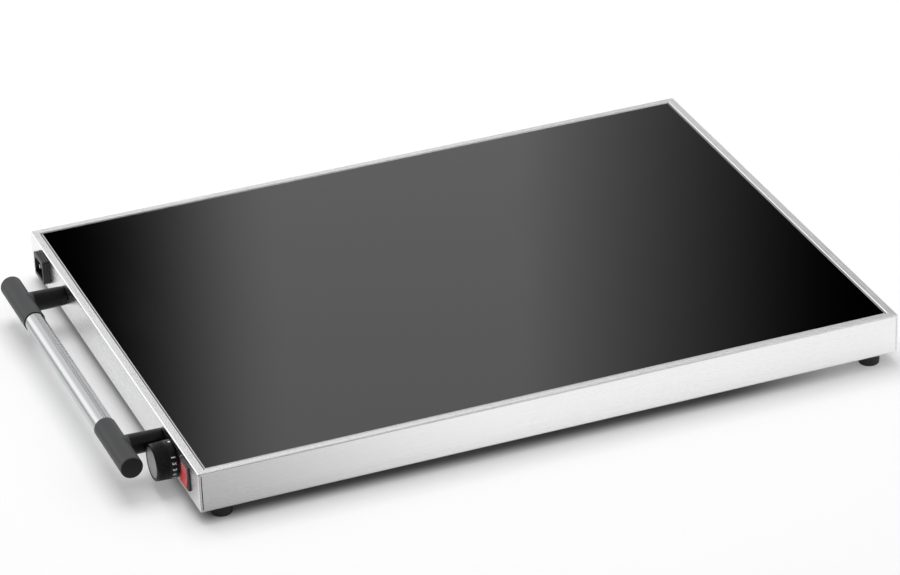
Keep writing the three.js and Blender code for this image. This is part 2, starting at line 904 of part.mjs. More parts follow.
// Control knob: smooth collar, ribbed grip, dished front and a hollow back with a hub
function ribbedRing(radius, z) {
  const ring = [];
  for (let i = 0; i < ribCount; i += 1) {
    for (const [turnShare, depthShare] of ribShares) {
      const angle = ((i + turnShare) / ribCount) * 2 * Math.PI;
      const reach = radius - depthShare * ribDepth;
      ring.push(new THREE.Vector3(reach * Math.cos(angle), reach * Math.sin(angle), z));
    }
  }
  return ring;
}

function controlKnob() {
  const back = knobLift;
  const collarTop = back + collarDepth;
  const front = back + knobDepth;
  const collar = turned([
    [0, back],
    [knobRadius, back],
    [knobRadius, collarTop],
    [knobRadius - 2 * ribDepth, collarTop + ribDepth],
    [0, collarTop + ribDepth],
  ], ribCount);
  const grip = skin([
    ribbedRing(knobRadius - ribSink, collarTop - ribDepth),
    ribbedRing(knobFrontRadius, front - knobRim),
  ]);
  const rim = turned([
    [0, front - knobRim - ribDepth],
    [knobFrontRadius - ribDepth / 2, front - knobRim - ribDepth],
    ...bend(knobFrontRadius - knobRim, front - knobRim, knobRim, 0, 1),
    [0, front],
  ], ribCount);
  const dish = rod(knobDish, front - knobDishDepth, front + overrun);
  const hollow = turned([
    [hubRadius, back - overrun],
    [knobRadius - knobWall, back - overrun],
    [knobRadius - knobWall, back + knobHollowDepth],
    [hubRadius, back + knobHollowDepth],
    [hubRadius, back - overrun],
  ], roundSteps);
  const recess = rod(hubRadius + overrun, back - overrun, back + hubRecess);
  const bore = cut(
    rod(shaftRadius + runningGap, back - overrun, shaftOutside + fitGap, 0, 0, tubeSteps),
    block(-knobRadius, knobRadius, shaftFlat + runningGap, knobRadius, back + hubRecess, knobDepth),
  );
  return cut(join(collar, grip, rim), dish, hollow, recess, bore);
}

function knobCap() {
  const low = knobLift + knobDepth - knobDishDepth + seat;
  const radius = knobDish - fitGap;
  const high = low + knobCapThickness;
  return whole(turned([
    [0, low],
    [radius, low],
    [radius, high - seat],
    [radius - seat, high],
    [0, high - seat],
  ], roundSteps));
}

function thermostatShaft() {
  const round = rod(shaftRadius, -shaftInside, shaftOutside, 0, 0, tubeSteps);
  const flat = block(-knobRadius, knobRadius, shaftFlat, knobRadius, knobLift, shaftOutside + overrun);
  return cut(round, flat);
}

// Flat blade terminal that points into the housing
function blade(x, y, z0) {
  const half = bladeWidth / 2;
  const outline = [
    [-half, overrun],
    [-half, -bladeLength + bladeChamfer],
    [-half + bladeChamfer, -bladeLength],
    [half - bladeChamfer, -bladeLength],
    [half, -bladeLength + bladeChamfer],
    [half, overrun],
  ];
  const flat = prism(outline, -bladeThickness / 2, bladeThickness / 2);
  return flat.rotateX(Math.PI / 2).rotateZ(Math.PI / 2).translate(x, y, z0);
}

function thermostatBody() {
  const front = -sheet - turnedSeat;
  const back = front - thermostatDepth;
  const section = [
    [thermostatEdge, back],
    [0, back + thermostatEdge],
    [0, front],
  ];
  const box = framed(thermostatWidth, thermostatHeight, thermostatEdge, section, false);
  const bush = rod(bushRadius, front - overrun, turnedSeat, 0, 0, tubeSteps);
  const blades = [-1, 1].map((side) => {
    return blade((side * thermostatBladePitch) / 2, thermostatBladeRise, back);
  });
  const bore = rod(shaftRadius + runningGap * 2, -shaftInside - fitGap, overrun, 0, 0, tubeSteps);
  const screwHoles = [-1, 1].map((side) => {
    const reach = -sheet - plateScrewGrip - fitGap;
    return rod(plateScrewRadius + fitGap, reach, overrun, (side * plateScrewPitch) / 2, 0, screwSteps);
  });
  return cut(join(box, bush, blades), bore, screwHoles);
}

// Sensor bulb under the spreader, with the capillary that runs to the thermostat
const bulbY = legY(0) + elementPitch / 2;
const bulbZ = spreaderBottom - seat - bulbRadius;
const thermostatBack = wallX + sheet + turnedSeat + thermostatDepth;

function sensorBulb() {
  const start = trayLeft + bulbStart;
  const capillaryY = frontY + knobFromFront + thermostatWidth / 4;
  const capillaryZ = knobY - capillaryDrop;
  const line = softRoute([
    [thermostatBack + turnedSeat, capillaryY, capillaryZ],
    [(thermostatBack + packLeft) / 2, capillaryY, capillaryZ],
    [packLeft - wireBend, bulbY, bulbZ],
    [start + bulbRadius, bulbY, bulbZ],
  ], wireBend * 2);
  const bulb = turned([
    [0, 0],
    [bulbRadius * bulbTipShare, 0],
    [bulbRadius, bulbRadius],
    [bulbRadius, bulbLength - bulbRadius],
    [bulbRadius * bulbTipShare, bulbLength],
    [0, bulbLength],
  ], bulbSteps).rotateY(Math.PI / 2).translate(start, bulbY, bulbZ);
  return join(bulb, pipe(line, capillaryRadius));
}

function bulbClip() {
  const inner = bulbRadius + runningGap;
  const outer = inner + clipSheet;
  const top = spreaderBottom - seat;
  const end = outer + clipEar;
  const outline = [
    [-end, top - clipSheet],
    [-outer, top - clipSheet],
    ...bend(0, bulbZ, outer, 2, 4, halfTurnSteps),
    [outer, top - clipSheet],
    [end, top - clipSheet],
    [end, top],
    [inner, top],
    ...bend(0, bulbZ, inner, 4, 2, halfTurnSteps),
    [-inner, top],
    [-end, top],
  ];
  const strap = prism(outline, -clipWidth / 2, clipWidth / 2);
  strap.rotateX(Math.PI / 2).rotateZ(Math.PI / 2);
  return whole(strap.translate(trayLeft + bulbStart + bulbLength / 2, bulbY, 0));
}

// Thermal cut-out, a flat can on the end wall of the heater tray
const cutoutY = frontY + cutoutFromFront;
const cutoutZ = (trayFloorTop + spreaderBottom) / 2 - traySheet;
const cutoutX = trayLeft - turnedSeat - cutoutDepth;

function thermalCutout() {
  const can = rod(cutoutRadius, 0, cutoutDepth, 0, 0, tubeSteps);
  const blades = [-1, 1].map((side) => blade((side * cutoutBladePitch) / 2, 0, 0));
  const body = join(can, blades);
  return whole(body.applyMatrix4(new THREE.Matrix4().makeBasis(
    new THREE.Vector3(0, 1, 0),
    new THREE.Vector3(0, 0, 1),
    new THREE.Vector3(1, 0, 0),
  )).translate(cutoutX, cutoutY, cutoutZ));
}

// Rocker switch
function switchBodyBlock(gap, z0, z1) {
  const halfX = rockerWidth / 2 + fitGap + switchWall + gap;
  const halfY = rockerHalfLength + fitGap + switchWall + gap;
  return block(switchX - halfX, switchX + halfX, switchY - halfY, switchY + halfY, z0, z1);
}

function switchBody() {
  const bezelSection = [
    [0, turnedSeat],
    [0, bezelProud - bezelEdge],
    [bezelEdge, bezelProud],
  ];
  const bezel = framed(bezelWidth, bezelHeight, bezelCorner, bezelSection, false);
  bezel.translate(switchX, switchY, 0);
  const box = switchBodyBlock(0, -switchBodyDepth, bezelProud - bezelEdge);
  const halfX = rockerWidth / 2 + fitGap;
  const halfY = rockerHalfLength + fitGap;
  const well = block(-halfX, halfX, -halfY, halfY, -switchWellDepth, bezelProud + overrun);
  well.translate(switchX, switchY, 0);
  const pinHoles = rod(rockerPinRadius + runningGap, -halfX - rockerPinLength, halfX + rockerPinLength);
  pinHoles.rotateY(Math.PI / 2).translate(switchX, switchY, -rockerDrop);
  const blades = [];
  for (const sideX of [-1, 1]) {
    for (const sideY of [-1, 1]) {
      const x = switchX + (sideX * switchBladePitchX) / 2;
      blades.push(blade(x, switchY + (sideY * switchBladePitchY) / 2, -switchBodyDepth));
    }
  }
  return cut(join(bezel, box, blades), well, pinHoles);
}

// Rocker: an upper and a lower face that meet in the middle, ends on an arc round the pins
function switchRocker() {
  const tilt = (rockerTilt * Math.PI) / 180;
  const reach = rockerHalfLength;
  const low = (-rockerUnderAngle * Math.PI) / 180;
  const lift = Math.asin((rockerRise / reach) * Math.cos(tilt)) + tilt;
  const end = [];
  for (let k = 0; k <= halfTurnSteps; k += 1) {
    const angle = low + ((lift - low) * k) / halfTurnSteps;
    end.push([reach * Math.cos(angle), reach * Math.sin(angle)]);
  }
  const mirrored = end.map(([x, y]) => [-x, y]).reverse();
  const outline = [...end, [0, rockerRise], ...mirrored, [0, -rockerBase]];
  const half = rockerWidth / 2;
  const wedge = prism(outline, -half, half).rotateX(Math.PI / 2).rotateZ(Math.PI / 2);
  const pins = rod(rockerPinRadius, -half - rockerPinLength + seat, half + rockerPinLength - seat);
  return join(wedge, pins.rotateY(Math.PI / 2));
}

// Power inlet: a grooved collar outside, a snap-in body inside and a socket with three contacts
function inletBodyBlock(gap, z0, z1) {
  const halfX = inletBodyLength / 2 + gap;
  const halfY = inletBodyHeight / 2 + gap;
  return block(inletX - halfX, inletX + halfX, inletY - halfY, inletY + halfY, z0, z1);
}

const contactPlaces = {
  live: [contactPitch / 2, -contactOffset],
  neutral: [-contactPitch / 2, -contactOffset],
  earth: [0, contactOffset],
};

function inletBody() {
  const step = inletProud / 3;
  const width = inletGrooveWidth;
  const section = [[0, turnedSeat]];
  for (const z of [step, 2 * step]) {
    section.push([0, z - width / 2], [inletGroove, z - width / 2]);
    section.push([inletGroove, z + width / 2], [0, z + width / 2]);
  }
  section.push([0, inletProud - inletGroove / 2], [inletGroove / 2, inletProud]);
  const collar = framed(inletLength, inletHeight, inletCorner, section, false);
  const halfX = inletBodyLength / 2;
  const halfY = inletBodyHeight / 2;
  const box = block(-halfX, halfX, -halfY, halfY, -inletBodyDepth, inletProud / 2);
  const catchZ = -sheet - turnedSeat;
  const latches = [-1, 1].map((side) => {
    const outline = [[0, catchZ], [latchRise, catchZ], [0, -latchDepth]];
    const wedge = prism(outline, -latchLength / 2, latchLength / 2);
    wedge.rotateX(Math.PI / 2).rotateZ((side * Math.PI) / 2);
    return wedge.translate(0, side * halfY, 0);
  });
  const x = socketLength / 2;
  const y = socketHeight / 2;
  const socket = prism([
    [-x, -y],
    [x, -y],
    [x, y - socketChamfer],
    [x - socketChamfer, y],
    [-x + socketChamfer, y],
    [-x, y - socketChamfer],
  ], inletProud - socketDepth, inletProud + overrun);
  const slots = Object.values(contactPlaces).map(([cx, cy]) => {
    const slotX = contactWidth / 2 + fitGap;
    const slotY = contactHeight / 2 + fitGap;
    return block(cx - slotX, cx + slotX, cy - slotY, cy + slotY, -inletBodyDepth - overrun, 0);
  });
  return cut(join(collar, box, latches), socket, slots).translate(inletX, inletY, 0);
}

function inletContact() {
  const low = -inletBodyDepth - contactTail;
  const high = inletProud - socketDepth + contactReach;
  const tip = contactTip;
  const x = contactWidth / 2;
  const y = contactHeight / 2;
  const ring = (inset, z) => [[-1, -1], [1, -1], [1, 1], [-1, 1]].map(([signX, signY]) => {
    return new THREE.Vector3(signX * (x - inset), signY * (y - inset), z);
  });
  return whole(skin([ring(0, low), ring(0, high - tip), ring(tip, high)]));
}

// Earth stud with its nut on the inside of the end panel
const studX = inletX + earthFromInlet;
const studY = inletY + contactOffset;

function earthStud() {
  const base = -sheet - turnedSeat;
  const nut = rod(nutRadius, base - nutHeight, base, 0, 0, nutSides);
  const stud = rod(studRadius, base - studLength, base, 0, 0, screwSteps);
  return join(nut, stud).translate(studX, studY, 0);
}

// Wires: each runs from one terminal's tip to another, in its own lane along the bay floor
function wireRoutes() {
  const y = (panelX) => -panelX;
  const clear = turnedSeat;
  const lane = (k) => wallX + switchBodyDepth + bladeLength + laneStart + k * lanePitch;
  const floorZ = floorTop + wireRadius + fitGap;
  const switchTip = wallX + switchBodyDepth + bladeLength + clear;
  const thermostatTip = thermostatBack + bladeLength + clear;
  const contactTipX = wallX + inletBodyDepth + contactTail + clear;
  const cutoutTip = cutoutX - bladeLength - clear;
  const elementTip = elementEndX - clear;
  const right = y(switchX + switchBladePitchX / 2);
  const left = y(switchX - switchBladePitchX / 2);
  const high = switchY + switchBladePitchY / 2;
  const low = switchY - switchBladePitchY / 2;
  const liveY = y(inletX + contactPlaces.live[0]);
  const neutralY = y(inletX + contactPlaces.neutral[0]);
  const contactZ = inletY - contactOffset;
  const bladeZ = knobY + thermostatBladeRise;
  const nearBlade = y(knobX + thermostatBladePitch / 2);
  const farBlade = y(knobX - thermostatBladePitch / 2);
  const turnX = thermostatTip + wireTurn;
  const endX = cutoutTip - wireBend / 2;
  const lastLeg = legY(elementLegCount - 1);
  const earthX = contactTipX + wireBend;
  return {
    wire_live_in: [brownWire, [
      [switchTip, left, low], [lane(0), left, low], [lane(0), left, floorZ],
      [lane(0), liveY, floorZ], [lane(0), liveY, contactZ], [contactTipX, liveY, contactZ],
    ]],
    wire_neutral_in: [blueWire, [
      [switchTip, right, low], [lane(1), right, low], [lane(1), right, floorZ],
      [lane(1), neutralY, floorZ], [lane(1), neutralY, contactZ], [contactTipX, neutralY, contactZ],
    ]],
    wire_neutral_heater: [blueWire, [
      [switchTip, right, high], [lane(2), right, high], [lane(2), right, floorZ],
      [lane(2), lastLeg, floorZ], [lane(2), lastLeg, elementZ], [elementTip, lastLeg, elementZ],
    ]],
    wire_live_thermostat: [brownWire, [
      [switchTip, left, high], [lane(1), left, high], [lane(1), nearBlade, bladeZ],
      [thermostatTip, nearBlade, bladeZ],
    ]],
    wire_live_cutout: [brownWire, [
      [thermostatTip, farBlade, bladeZ], [turnX, farBlade, bladeZ],
      [turnX, cutoutY - cutoutBladePitch / 2, cutoutZ],
      [cutoutTip, cutoutY - cutoutBladePitch / 2, cutoutZ],
    ]],
    wire_live_heater: [brownWire, [
      [cutoutTip, cutoutY + cutoutBladePitch / 2, cutoutZ],
      [endX, cutoutY + cutoutBladePitch / 2, cutoutZ],
      [endX, legY(0), elementZ], [elementTip, legY(0), elementZ],
    ]],
    wire_earth: [earthWire, [
      [contactTipX, y(inletX), studY], [earthX, y(inletX), studY], [earthX, y(studX), studY],
      [wallX + sheet + 2 * turnedSeat + studLength, y(studX), studY],
    ]],
  };
}

// The housing and what it holds
piece('housing_shell', housingShell(), brushedSteel);
piece('glass_plate', glassPlate(), blackGlass);
piece('glass_seal', glassSeal(), blackSilicone);
glassRails();
piece('heat_spreader', heatSpreader(), satinAluminium);
piece('heating_element', whole(pipe(elementStations(), elementRadius, elementSides)), heaterSheath);
clampPlaceShares.forEach((share, i) => {
  const clamp = piece(`element_clamp_${i + 1}`, elementClamp(), plainSteel);
  clamp.position.x = packLeft + share * packLength;
});
piece('insulation_mat', insulationMat(), whiteMat);
piece('heater_tray', heaterTray(), plainSteel);
piece('base_plate', basePlate(), zincSteel);
springPlaceShares.forEach((shareX, i) => {
  springPlaceShares.forEach((shareY, j) => {
    const spring = piece(`leaf_spring_${2 * i + j + 1}`, leafSpring(), plainSteel);
    spring.position.set(packX + shareX * packLength, (shareY * houseDepth) / 2, baseTop + seat);
  });
});
for (const [place, [x, y]] of Object.entries(footPlaces())) {
  piece(`foot_${place}`, foot(), rubber).position.set(x, y, 0);
  const grip = footHeight - footCounterboreDepth + screwGrip;
  const fixing = screw(screwRadius, screwHead, screwHeadHeight, grip);
  piece(`foot_screw_${place}`, fixing, zincSteel).position.set(x, y, footCounterboreDepth - seat);
}
for (const [place, [x, y]] of Object.entries(baseScrewPlaces())) {
  const fixing = screw(screwRadius, screwHead, screwHeadHeight, screwGrip);
  piece(`base_screw_${place}`, fixing, zincSteel).position.set(x, y, baseBottom - seat);
}

// Carrying bar
piece('handle_tube', handleTube(), satinAluminium, endPanel).position.set(barX, barY, barOut);
[['front', -1], ['rear', 1]].forEach(([place, side], i) => {
  const end = piece(`handle_end_${place}`, handleEnd(side, postPlaces[i]), darkPlastic, endPanel);
  end.position.set(postPlaces[i], barY, 0);
  const fixing = screw(handleScrewRadius, handleScrewHead, handleScrewHeadHeight, handleScrewGrip);
  const bolt = piece(`handle_screw_${place}`, fixing, zincSteel, endPanel);
  bolt.position.set(postPlaces[i], barY, -sheet - turnedSeat);
});

// Thermostat and knob
piece('thermostat_body', thermostatBody(), blackPlastic, endPanel).position.set(knobX, knobY, 0);
[-1, 1].forEach((side, i) => {
  const fixing = screw(plateScrewRadius, plateScrewHead, plateScrewHeadHeight, sheet + plateScrewGrip);
  const bolt = piece(`thermostat_screw_${i + 1}`, fixing, zincSteel, endPanel);
  bolt.rotation.x = Math.PI;
  bolt.position.set(knobX + (side * plateScrewPitch) / 2, knobY, turnedSeat);
});
piece('thermostat_shaft', thermostatShaft(), nickelBrass, endPanel).position.set(knobX, knobY, 0);
piece('control_knob', controlKnob(), blackPlastic, endPanel).position.set(knobX, knobY, 0);
piece('knob_cap', knobCap(), greyDisc, endPanel).position.set(knobX, knobY, 0);
piece('sensor_bulb', sensorBulb(), copper);
piece('bulb_clip', bulbClip(), plainSteel);
piece('thermal_cutout', thermalCutout(), nickelBrass);

// Switch
piece('switch_body', switchBody(), blackPlastic, endPanel);
const rocker = piece('switch_rocker', switchRocker(), redLens, endPanel);
rocker.position.set(switchX, switchY, -rockerDrop);
rocker.rotation.x = (-rockerTilt * Math.PI) / 180;

// Inlet
piece('inlet_body', inletBody(), blackPlastic, endPanel);
for (const [name, [x, y]] of Object.entries(contactPlaces)) {
  const contact = piece(`inlet_contact_${name}`, inletContact(), nickelBrass, endPanel);
  contact.position.set(inletX + x, inletY + y, 0);
}
piece('earth_stud', earthStud(), nickelBrass, endPanel);

// Wires
for (const [name, [material, points]] of Object.entries(wireRoutes())) {
  piece(name, whole(pipe(softRoute(points), wireRadius)), material);
}

export default tray;
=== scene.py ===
# %% [markdown]
# # Electric food warmer tray
#
# The real object is a flat hot plate that keeps food warm. A housing folded from thin stainless steel
# holds a black glass-ceramic plate. One end carries a bar to lift it by, a thermostat knob, a rocker
# switch with a red lens and a power inlet.
#
# The measured model gives every piece its size and place. This lesson gives the pieces their fine
# shapes and finishes. Lengths are written in millimetres, and Blender gets them in metres.

# %% Load the measured model
import json
import math

import bmesh
import bpy
from mathutils import Matrix, Vector


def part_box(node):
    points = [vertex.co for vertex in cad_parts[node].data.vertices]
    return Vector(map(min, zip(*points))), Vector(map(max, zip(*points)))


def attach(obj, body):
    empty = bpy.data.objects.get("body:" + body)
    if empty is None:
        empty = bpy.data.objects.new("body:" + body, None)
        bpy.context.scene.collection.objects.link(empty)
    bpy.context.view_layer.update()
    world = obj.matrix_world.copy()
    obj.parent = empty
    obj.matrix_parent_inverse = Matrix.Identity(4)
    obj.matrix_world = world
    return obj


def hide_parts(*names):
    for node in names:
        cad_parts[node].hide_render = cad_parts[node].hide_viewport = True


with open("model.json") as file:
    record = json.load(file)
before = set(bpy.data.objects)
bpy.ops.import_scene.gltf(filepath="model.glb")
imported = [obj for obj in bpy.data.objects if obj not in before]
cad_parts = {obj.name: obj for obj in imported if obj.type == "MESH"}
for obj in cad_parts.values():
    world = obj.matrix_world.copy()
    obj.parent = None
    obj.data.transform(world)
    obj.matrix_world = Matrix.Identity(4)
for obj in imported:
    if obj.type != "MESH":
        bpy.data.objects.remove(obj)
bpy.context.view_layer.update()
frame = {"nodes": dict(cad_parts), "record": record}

nodes = frame["nodes"]

# %% Read sizes in millimetres
MM = 0.001


def box_mm(node):
    """Lowest and highest corner of a measured piece, in millimetres."""
    low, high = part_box(node)
    return low / MM, high / MM


def middle_mm(node):
    low, high = box_mm(node)
    return (low + high) / 2


house_low, house_high = box_mm("housing_shell")
print("housing, mm:", [round(side, 1) for side in house_high - house_low])

# %% [markdown]
# ## Camera
#
# The tray is seen from above its near left corner through a long lens, so its far edges are nearly
# parallel to its near ones. A camera can be turned with angles or aimed with a constraint. Here its
# three axes are written down, because they came out of fitting the corners of the tray, and a
# matrix holds them without rounding.

# %% Place the camera
camera_place = Vector((-1.25824, -3.45308, 2.00960))
rightward = Vector((0.929851, -0.366050, -0.037209))
upward = Vector((0.203733, 0.428026, 0.880504))
forward = Vector((0.306382, 0.826318, -0.472577))
sensor_width = 36
focal_length = 177.0016

lens = bpy.data.cameras.new("camera")
lens.sensor_width = sensor_width
lens.lens = focal_length
camera = bpy.data.objects.new("camera", lens)
turn_of_camera = Matrix((rightward, upward, -forward)).transposed().to_4x4()
camera.matrix_world = Matrix.Translation(camera_place) @ turn_of_camera
bpy.context.scene.collection.objects.link(camera)
bpy.context.scene.camera = camera
print("camera looks down by", round(math.degrees(math.asin(-forward.z)), 1), "degrees")

# %% [markdown]
# ## Writing finishes as sums
#
# A finish is a tree of nodes. Wired by hand, a short formula such as 0.3 + 0.1 * streaks takes three
# nodes and four links. The small class below wraps one socket and gives it the plus, minus and times
# signs, so the formula stays a formula and Blender still gets its Math nodes.


# %% Wrap a socket
class Signal:
    """One output of a node, which can stand in a sum."""

    def __init__(self, recipe, socket):
        self.recipe = recipe
        self.socket = socket

    def math(self, operation, *others):
        """A Math node that takes this signal first."""
        values = dict(enumerate((self, *others)))
        return self.recipe.node("ShaderNodeMath", {"operation": operation}, values)

    def __add__(self, other):
        return self.math("ADD", other)

    def __sub__(self, other):
        return self.math("SUBTRACT", other)

    def __rsub__(self, other):
        return self.recipe.node("ShaderNodeMath", {"operation": "SUBTRACT"}, {0: other, 1: self})

    def __mul__(self, other):
        return self.math("MULTIPLY", other)

    __radd__ = __add__
    __rmul__ = __mul__


# %% Write a finish
class Recipe:
    """The nodes of one material or of the world."""

    def __init__(self, tree):
        self.tree = tree
        self.tree.nodes.clear()

    def node(self, kind, settings=None, sockets=None, out=None):
        """Adds a node. Its settings come first, then the values or links of its sockets."""
        made = self.tree.nodes.new(kind)
        for name, value in (settings or {}).items():
            setattr(made, name, value)
        shown = [socket for socket in made.inputs if socket.enabled]
        for key, value in (sockets or {}).items():
            socket = shown[key] if isinstance(key, int) else next(s for s in shown if s.name == key)
            if isinstance(value, Signal):
                self.tree.links.new(value.socket, socket)
            else:
                socket.default_value = value
        outputs = [socket for socket in made.outputs if socket.enabled]
        named = [socket for socket in outputs if socket.name == out] or outputs
        return Signal(self, named[0]) if named else None


# %% Patterns that several finishes share
def grey(shade):
    """A linear grey as a colour."""
    return (shade, shade, shade, 1)


def point_on(recipe, kind="Object"):
    """The point on the object, in metres, or with "Normal" the way its surface faces."""
    return recipe.node("ShaderNodeTexCoord", out=kind)


def place_of(recipe, stretch):
    """The point on the object times a stretch along each axis."""
    return recipe.node("ShaderNodeVectorMath", {"operation": "MULTIPLY"},
                       {0: point_on(recipe), 1: stretch})


def noise_at(recipe, vector, detail, scale=1.0):
    """Noise from 0 to 1 at a vector."""
    return recipe.node("ShaderNodeTexNoise", {},
                       {"Vector": vector, "Scale": scale, "Detail": detail}, "Fac")


def noise(recipe, stretch, detail=2.0):
    """Noise on the object. A stretch of 1000 gives it a grain of about a millimetre."""
    return noise_at(recipe, place_of(recipe, stretch), detail)


def between(recipe, value, low, high, step="SMOOTHSTEP"):
    """0 at low and 1 at high, whichever is larger, with a soft step or a straight ramp (LINEAR)."""
    return recipe.node("ShaderNodeMapRange", {"interpolation_type": step},
                       {"Value": value, "From Min": low, "From Max": high}, "Result")


def sides_of(recipe, vector, names="XYZ"):
    """The parts of a vector as values."""
    return [recipe.node("ShaderNodeSeparateXYZ", {}, {0: vector}, name) for name in names]


def blend(recipe, factor, first, second):
    """Mixes two colours by a factor from 0 to 1."""
    return recipe.node("ShaderNodeMix", {"data_type": "RGBA"},
                       {"Factor": factor, "A": first, "B": second}, "Result")


def bump(recipe, height, depth):
    """Raises the surface by depth metres where height is 1."""
    return recipe.node("ShaderNodeBump", {}, {"Height": height, "Distance": depth}, "Normal")


# %% Make a material from a recipe
def finish(name, constants, write):
    """A material: constants go on the shader's own sockets, write(recipe) returns the links."""
    material = bpy.data.materials.new(name)
    material.use_nodes = True
    recipe = Recipe(material.node_tree)
    shader = material.node_tree.nodes.new("ShaderNodeBsdfPrincipled")
    for socket, value in constants.items():
        shader.inputs[socket].default_value = value
    for socket, signal in write(recipe).items():
        material.node_tree.links.new(signal.socket, shader.inputs[socket])
    end = material.node_tree.nodes.new("ShaderNodeOutputMaterial")
    material.node_tree.links.new(shader.outputs["BSDF"], end.inputs["Surface"])
    print("finish", name, "with", len(material.node_tree.nodes), "nodes")
    return material


# %% [markdown]
# ## Stainless steel
#
# The housing is folded from strips that were ground along their length and mitred at the corners. So
# the fine lines run along X on the long sides and along Y on the two ends, and they meet in a mitre on
# the top. A stretched noise gives the lines: a small number along the streak, a large one across it.
# Its bump is what matters, because it smears a reflection across the lines and keeps it narrow along
# them. Which way a point's streaks run follows from the edge that it is nearest to.


# %% Ground steel
half_mitre = 0.0003
end_shift = 7.0


def ground_steel(name, shade, rough, along=3.0, across=2600.0, depth=0.0001):
    """Steel with fine lines: so many swings a metre along them and across them."""
    def write(recipe):
        x, y, z = sides_of(recipe, point_on(recipe))
        centre = (house_low + house_high) / 2 * MM
        half = (house_high - house_low) / 2 * MM
        from_end = half.x - (x - centre.x).math("ABSOLUTE")
        from_side = half.y - y.math("ABSOLUTE")
        at_end = between(recipe, from_side - from_end, -half_mitre, half_mitre)
        lengthwise = (x + (y - x) * at_end) * along
        crosswise = (y + (x - y) * at_end + z) * across
        strokes = recipe.node("ShaderNodeCombineXYZ", {},
                              {0: lengthwise, 1: crosswise, 2: at_end * end_shift})
        lines = noise_at(recipe, strokes, 3.0)
        wide = noise_at(recipe, strokes, 1.0, scale=0.16)
        wiped = between(recipe, noise(recipe, (9, 9, 9), 3.0), 0.42, 0.72)
        shades = between(recipe, lines * 0.6 + wide * 0.4, 0.3, 0.7)
        return {
            "Base Color": blend(recipe, shades, grey(shade * 0.97), grey(shade * 1.02)),
            "Roughness": rough + (lines - 0.5) * 0.08 + (wide - 0.5) * 0.05 + wiped * 0.025,
            "Normal": bump(recipe, lines, depth),
        }
    return finish(name, {"Metallic": 1.0}, write)


housing_steel = ground_steel("housing_steel", 0.90, 0.26)

# %% [markdown]
# ## Black glass-ceramic
#
# Glass-ceramic is cast and rolled like window glass, then heated until fine crystals grow in it. This
# kind is tinted so dark that it looks solid. Its look is almost all reflection, so the colour is near
# black and the work goes into the roughness: wiping leaves faint arcs that are a little duller. The
# ground facet round the edge is matt and lighter, and the object's own normal finds it.


# %% Black glass
def black_glass_nodes(recipe):
    """The facet is where the surface leans by more than ten degrees or so."""
    up = sides_of(recipe, point_on(recipe, "Normal"), "Z")[0]
    facet = between(recipe, up, 0.985, 0.95)
    wiped = noise(recipe, (14, 5, 14), 4.0)
    specks = between(recipe, noise(recipe, (1500, 1500, 1500), 0.0), 0.68, 0.74)
    dark = blend(recipe, specks, grey(0.0003), grey(0.003))
    return {
        "Base Color": blend(recipe, facet, dark, grey(0.56)),
        "Roughness": 0.035 + between(recipe, wiped, 0.45, 0.7) * 0.025 + facet * 0.35,
    }


black_glass = finish("black_glass", {"IOR": 1.52}, black_glass_nodes)

# %% [markdown]
# ## Aluminium, plastics and rubber
#
# The grip tube is drawn aluminium, brushed along its length and anodised, so its streaks run along Y.
# Moulded plastic takes the grain of its mould: a soft noise of half a millimetre on the dark grey
# grip, a much finer one on the polished black parts. Rubber is the same idea with a duller surface.


# %% Anodised aluminium
def tube_aluminium_nodes(recipe):
    streaks = noise(recipe, (2400, 5, 2400), 3.0)
    cloud = noise(recipe, (60, 20, 60), 2.0)
    return {
        "Base Color": blend(recipe, streaks, (0.51, 0.52, 0.53, 1), (0.58, 0.59, 0.60, 1)),
        "Roughness": 0.24 + (streaks - 0.5) * 0.08 + (cloud - 0.5) * 0.04,
        "Normal": bump(recipe, streaks, 0.000002),
    }


tube_aluminium = finish("tube_aluminium", {"Metallic": 1.0}, tube_aluminium_nodes)


# %% Moulded plastic and rubber
def moulded(name, shade, rough, grain, depth, coat=0.0, gloss=0.5):
    """Plastic or rubber with a mould grain of so many marks a metre."""
    def write(recipe):
        marks = noise(recipe, (grain, grain, grain), 2.0)
        flow = noise(recipe, (40, 40, 40), 2.0)
        low = tuple(part * 0.82 for part in shade) + (1,)
        high = tuple(part * 1.15 for part in shade) + (1,)
        return {
            "Base Color": blend(recipe, marks * 0.6 + flow * 0.4, low, high),
            "Roughness": rough + (marks - 0.5) * 0.10 + (flow - 0.5) * 0.06,
            "Normal": bump(recipe, marks, depth),
        }
    constants = {"Coat Weight": coat, "Coat Roughness": 0.25, "Specular IOR Level": gloss}
    return finish(name, constants, write)


knob_plastic = moulded("knob_plastic", (0.006, 0.006, 0.0065), 0.34, 3200, 0.000006, gloss=0.3)
black_plastic = moulded("black_plastic", (0.006, 0.006, 0.0065), 0.46, 2600, 0.000006, gloss=1.0)
red_plastic = moulded("red_plastic", (0.85, 0.035, 0.045), 0.30, 1800, 0.000008, coat=1.0, gloss=0.8)
white_print = moulded("white_print", (0.84, 0.84, 0.83), 0.5, 6000, 0.000004)
foot_rubber = moulded("foot_rubber", (0.016, 0.016, 0.016), 0.72, 2600, 0.00003)
seal_silicone = moulded("seal_silicone", (0.012, 0.012, 0.012), 0.5, 3000, 0.00001)


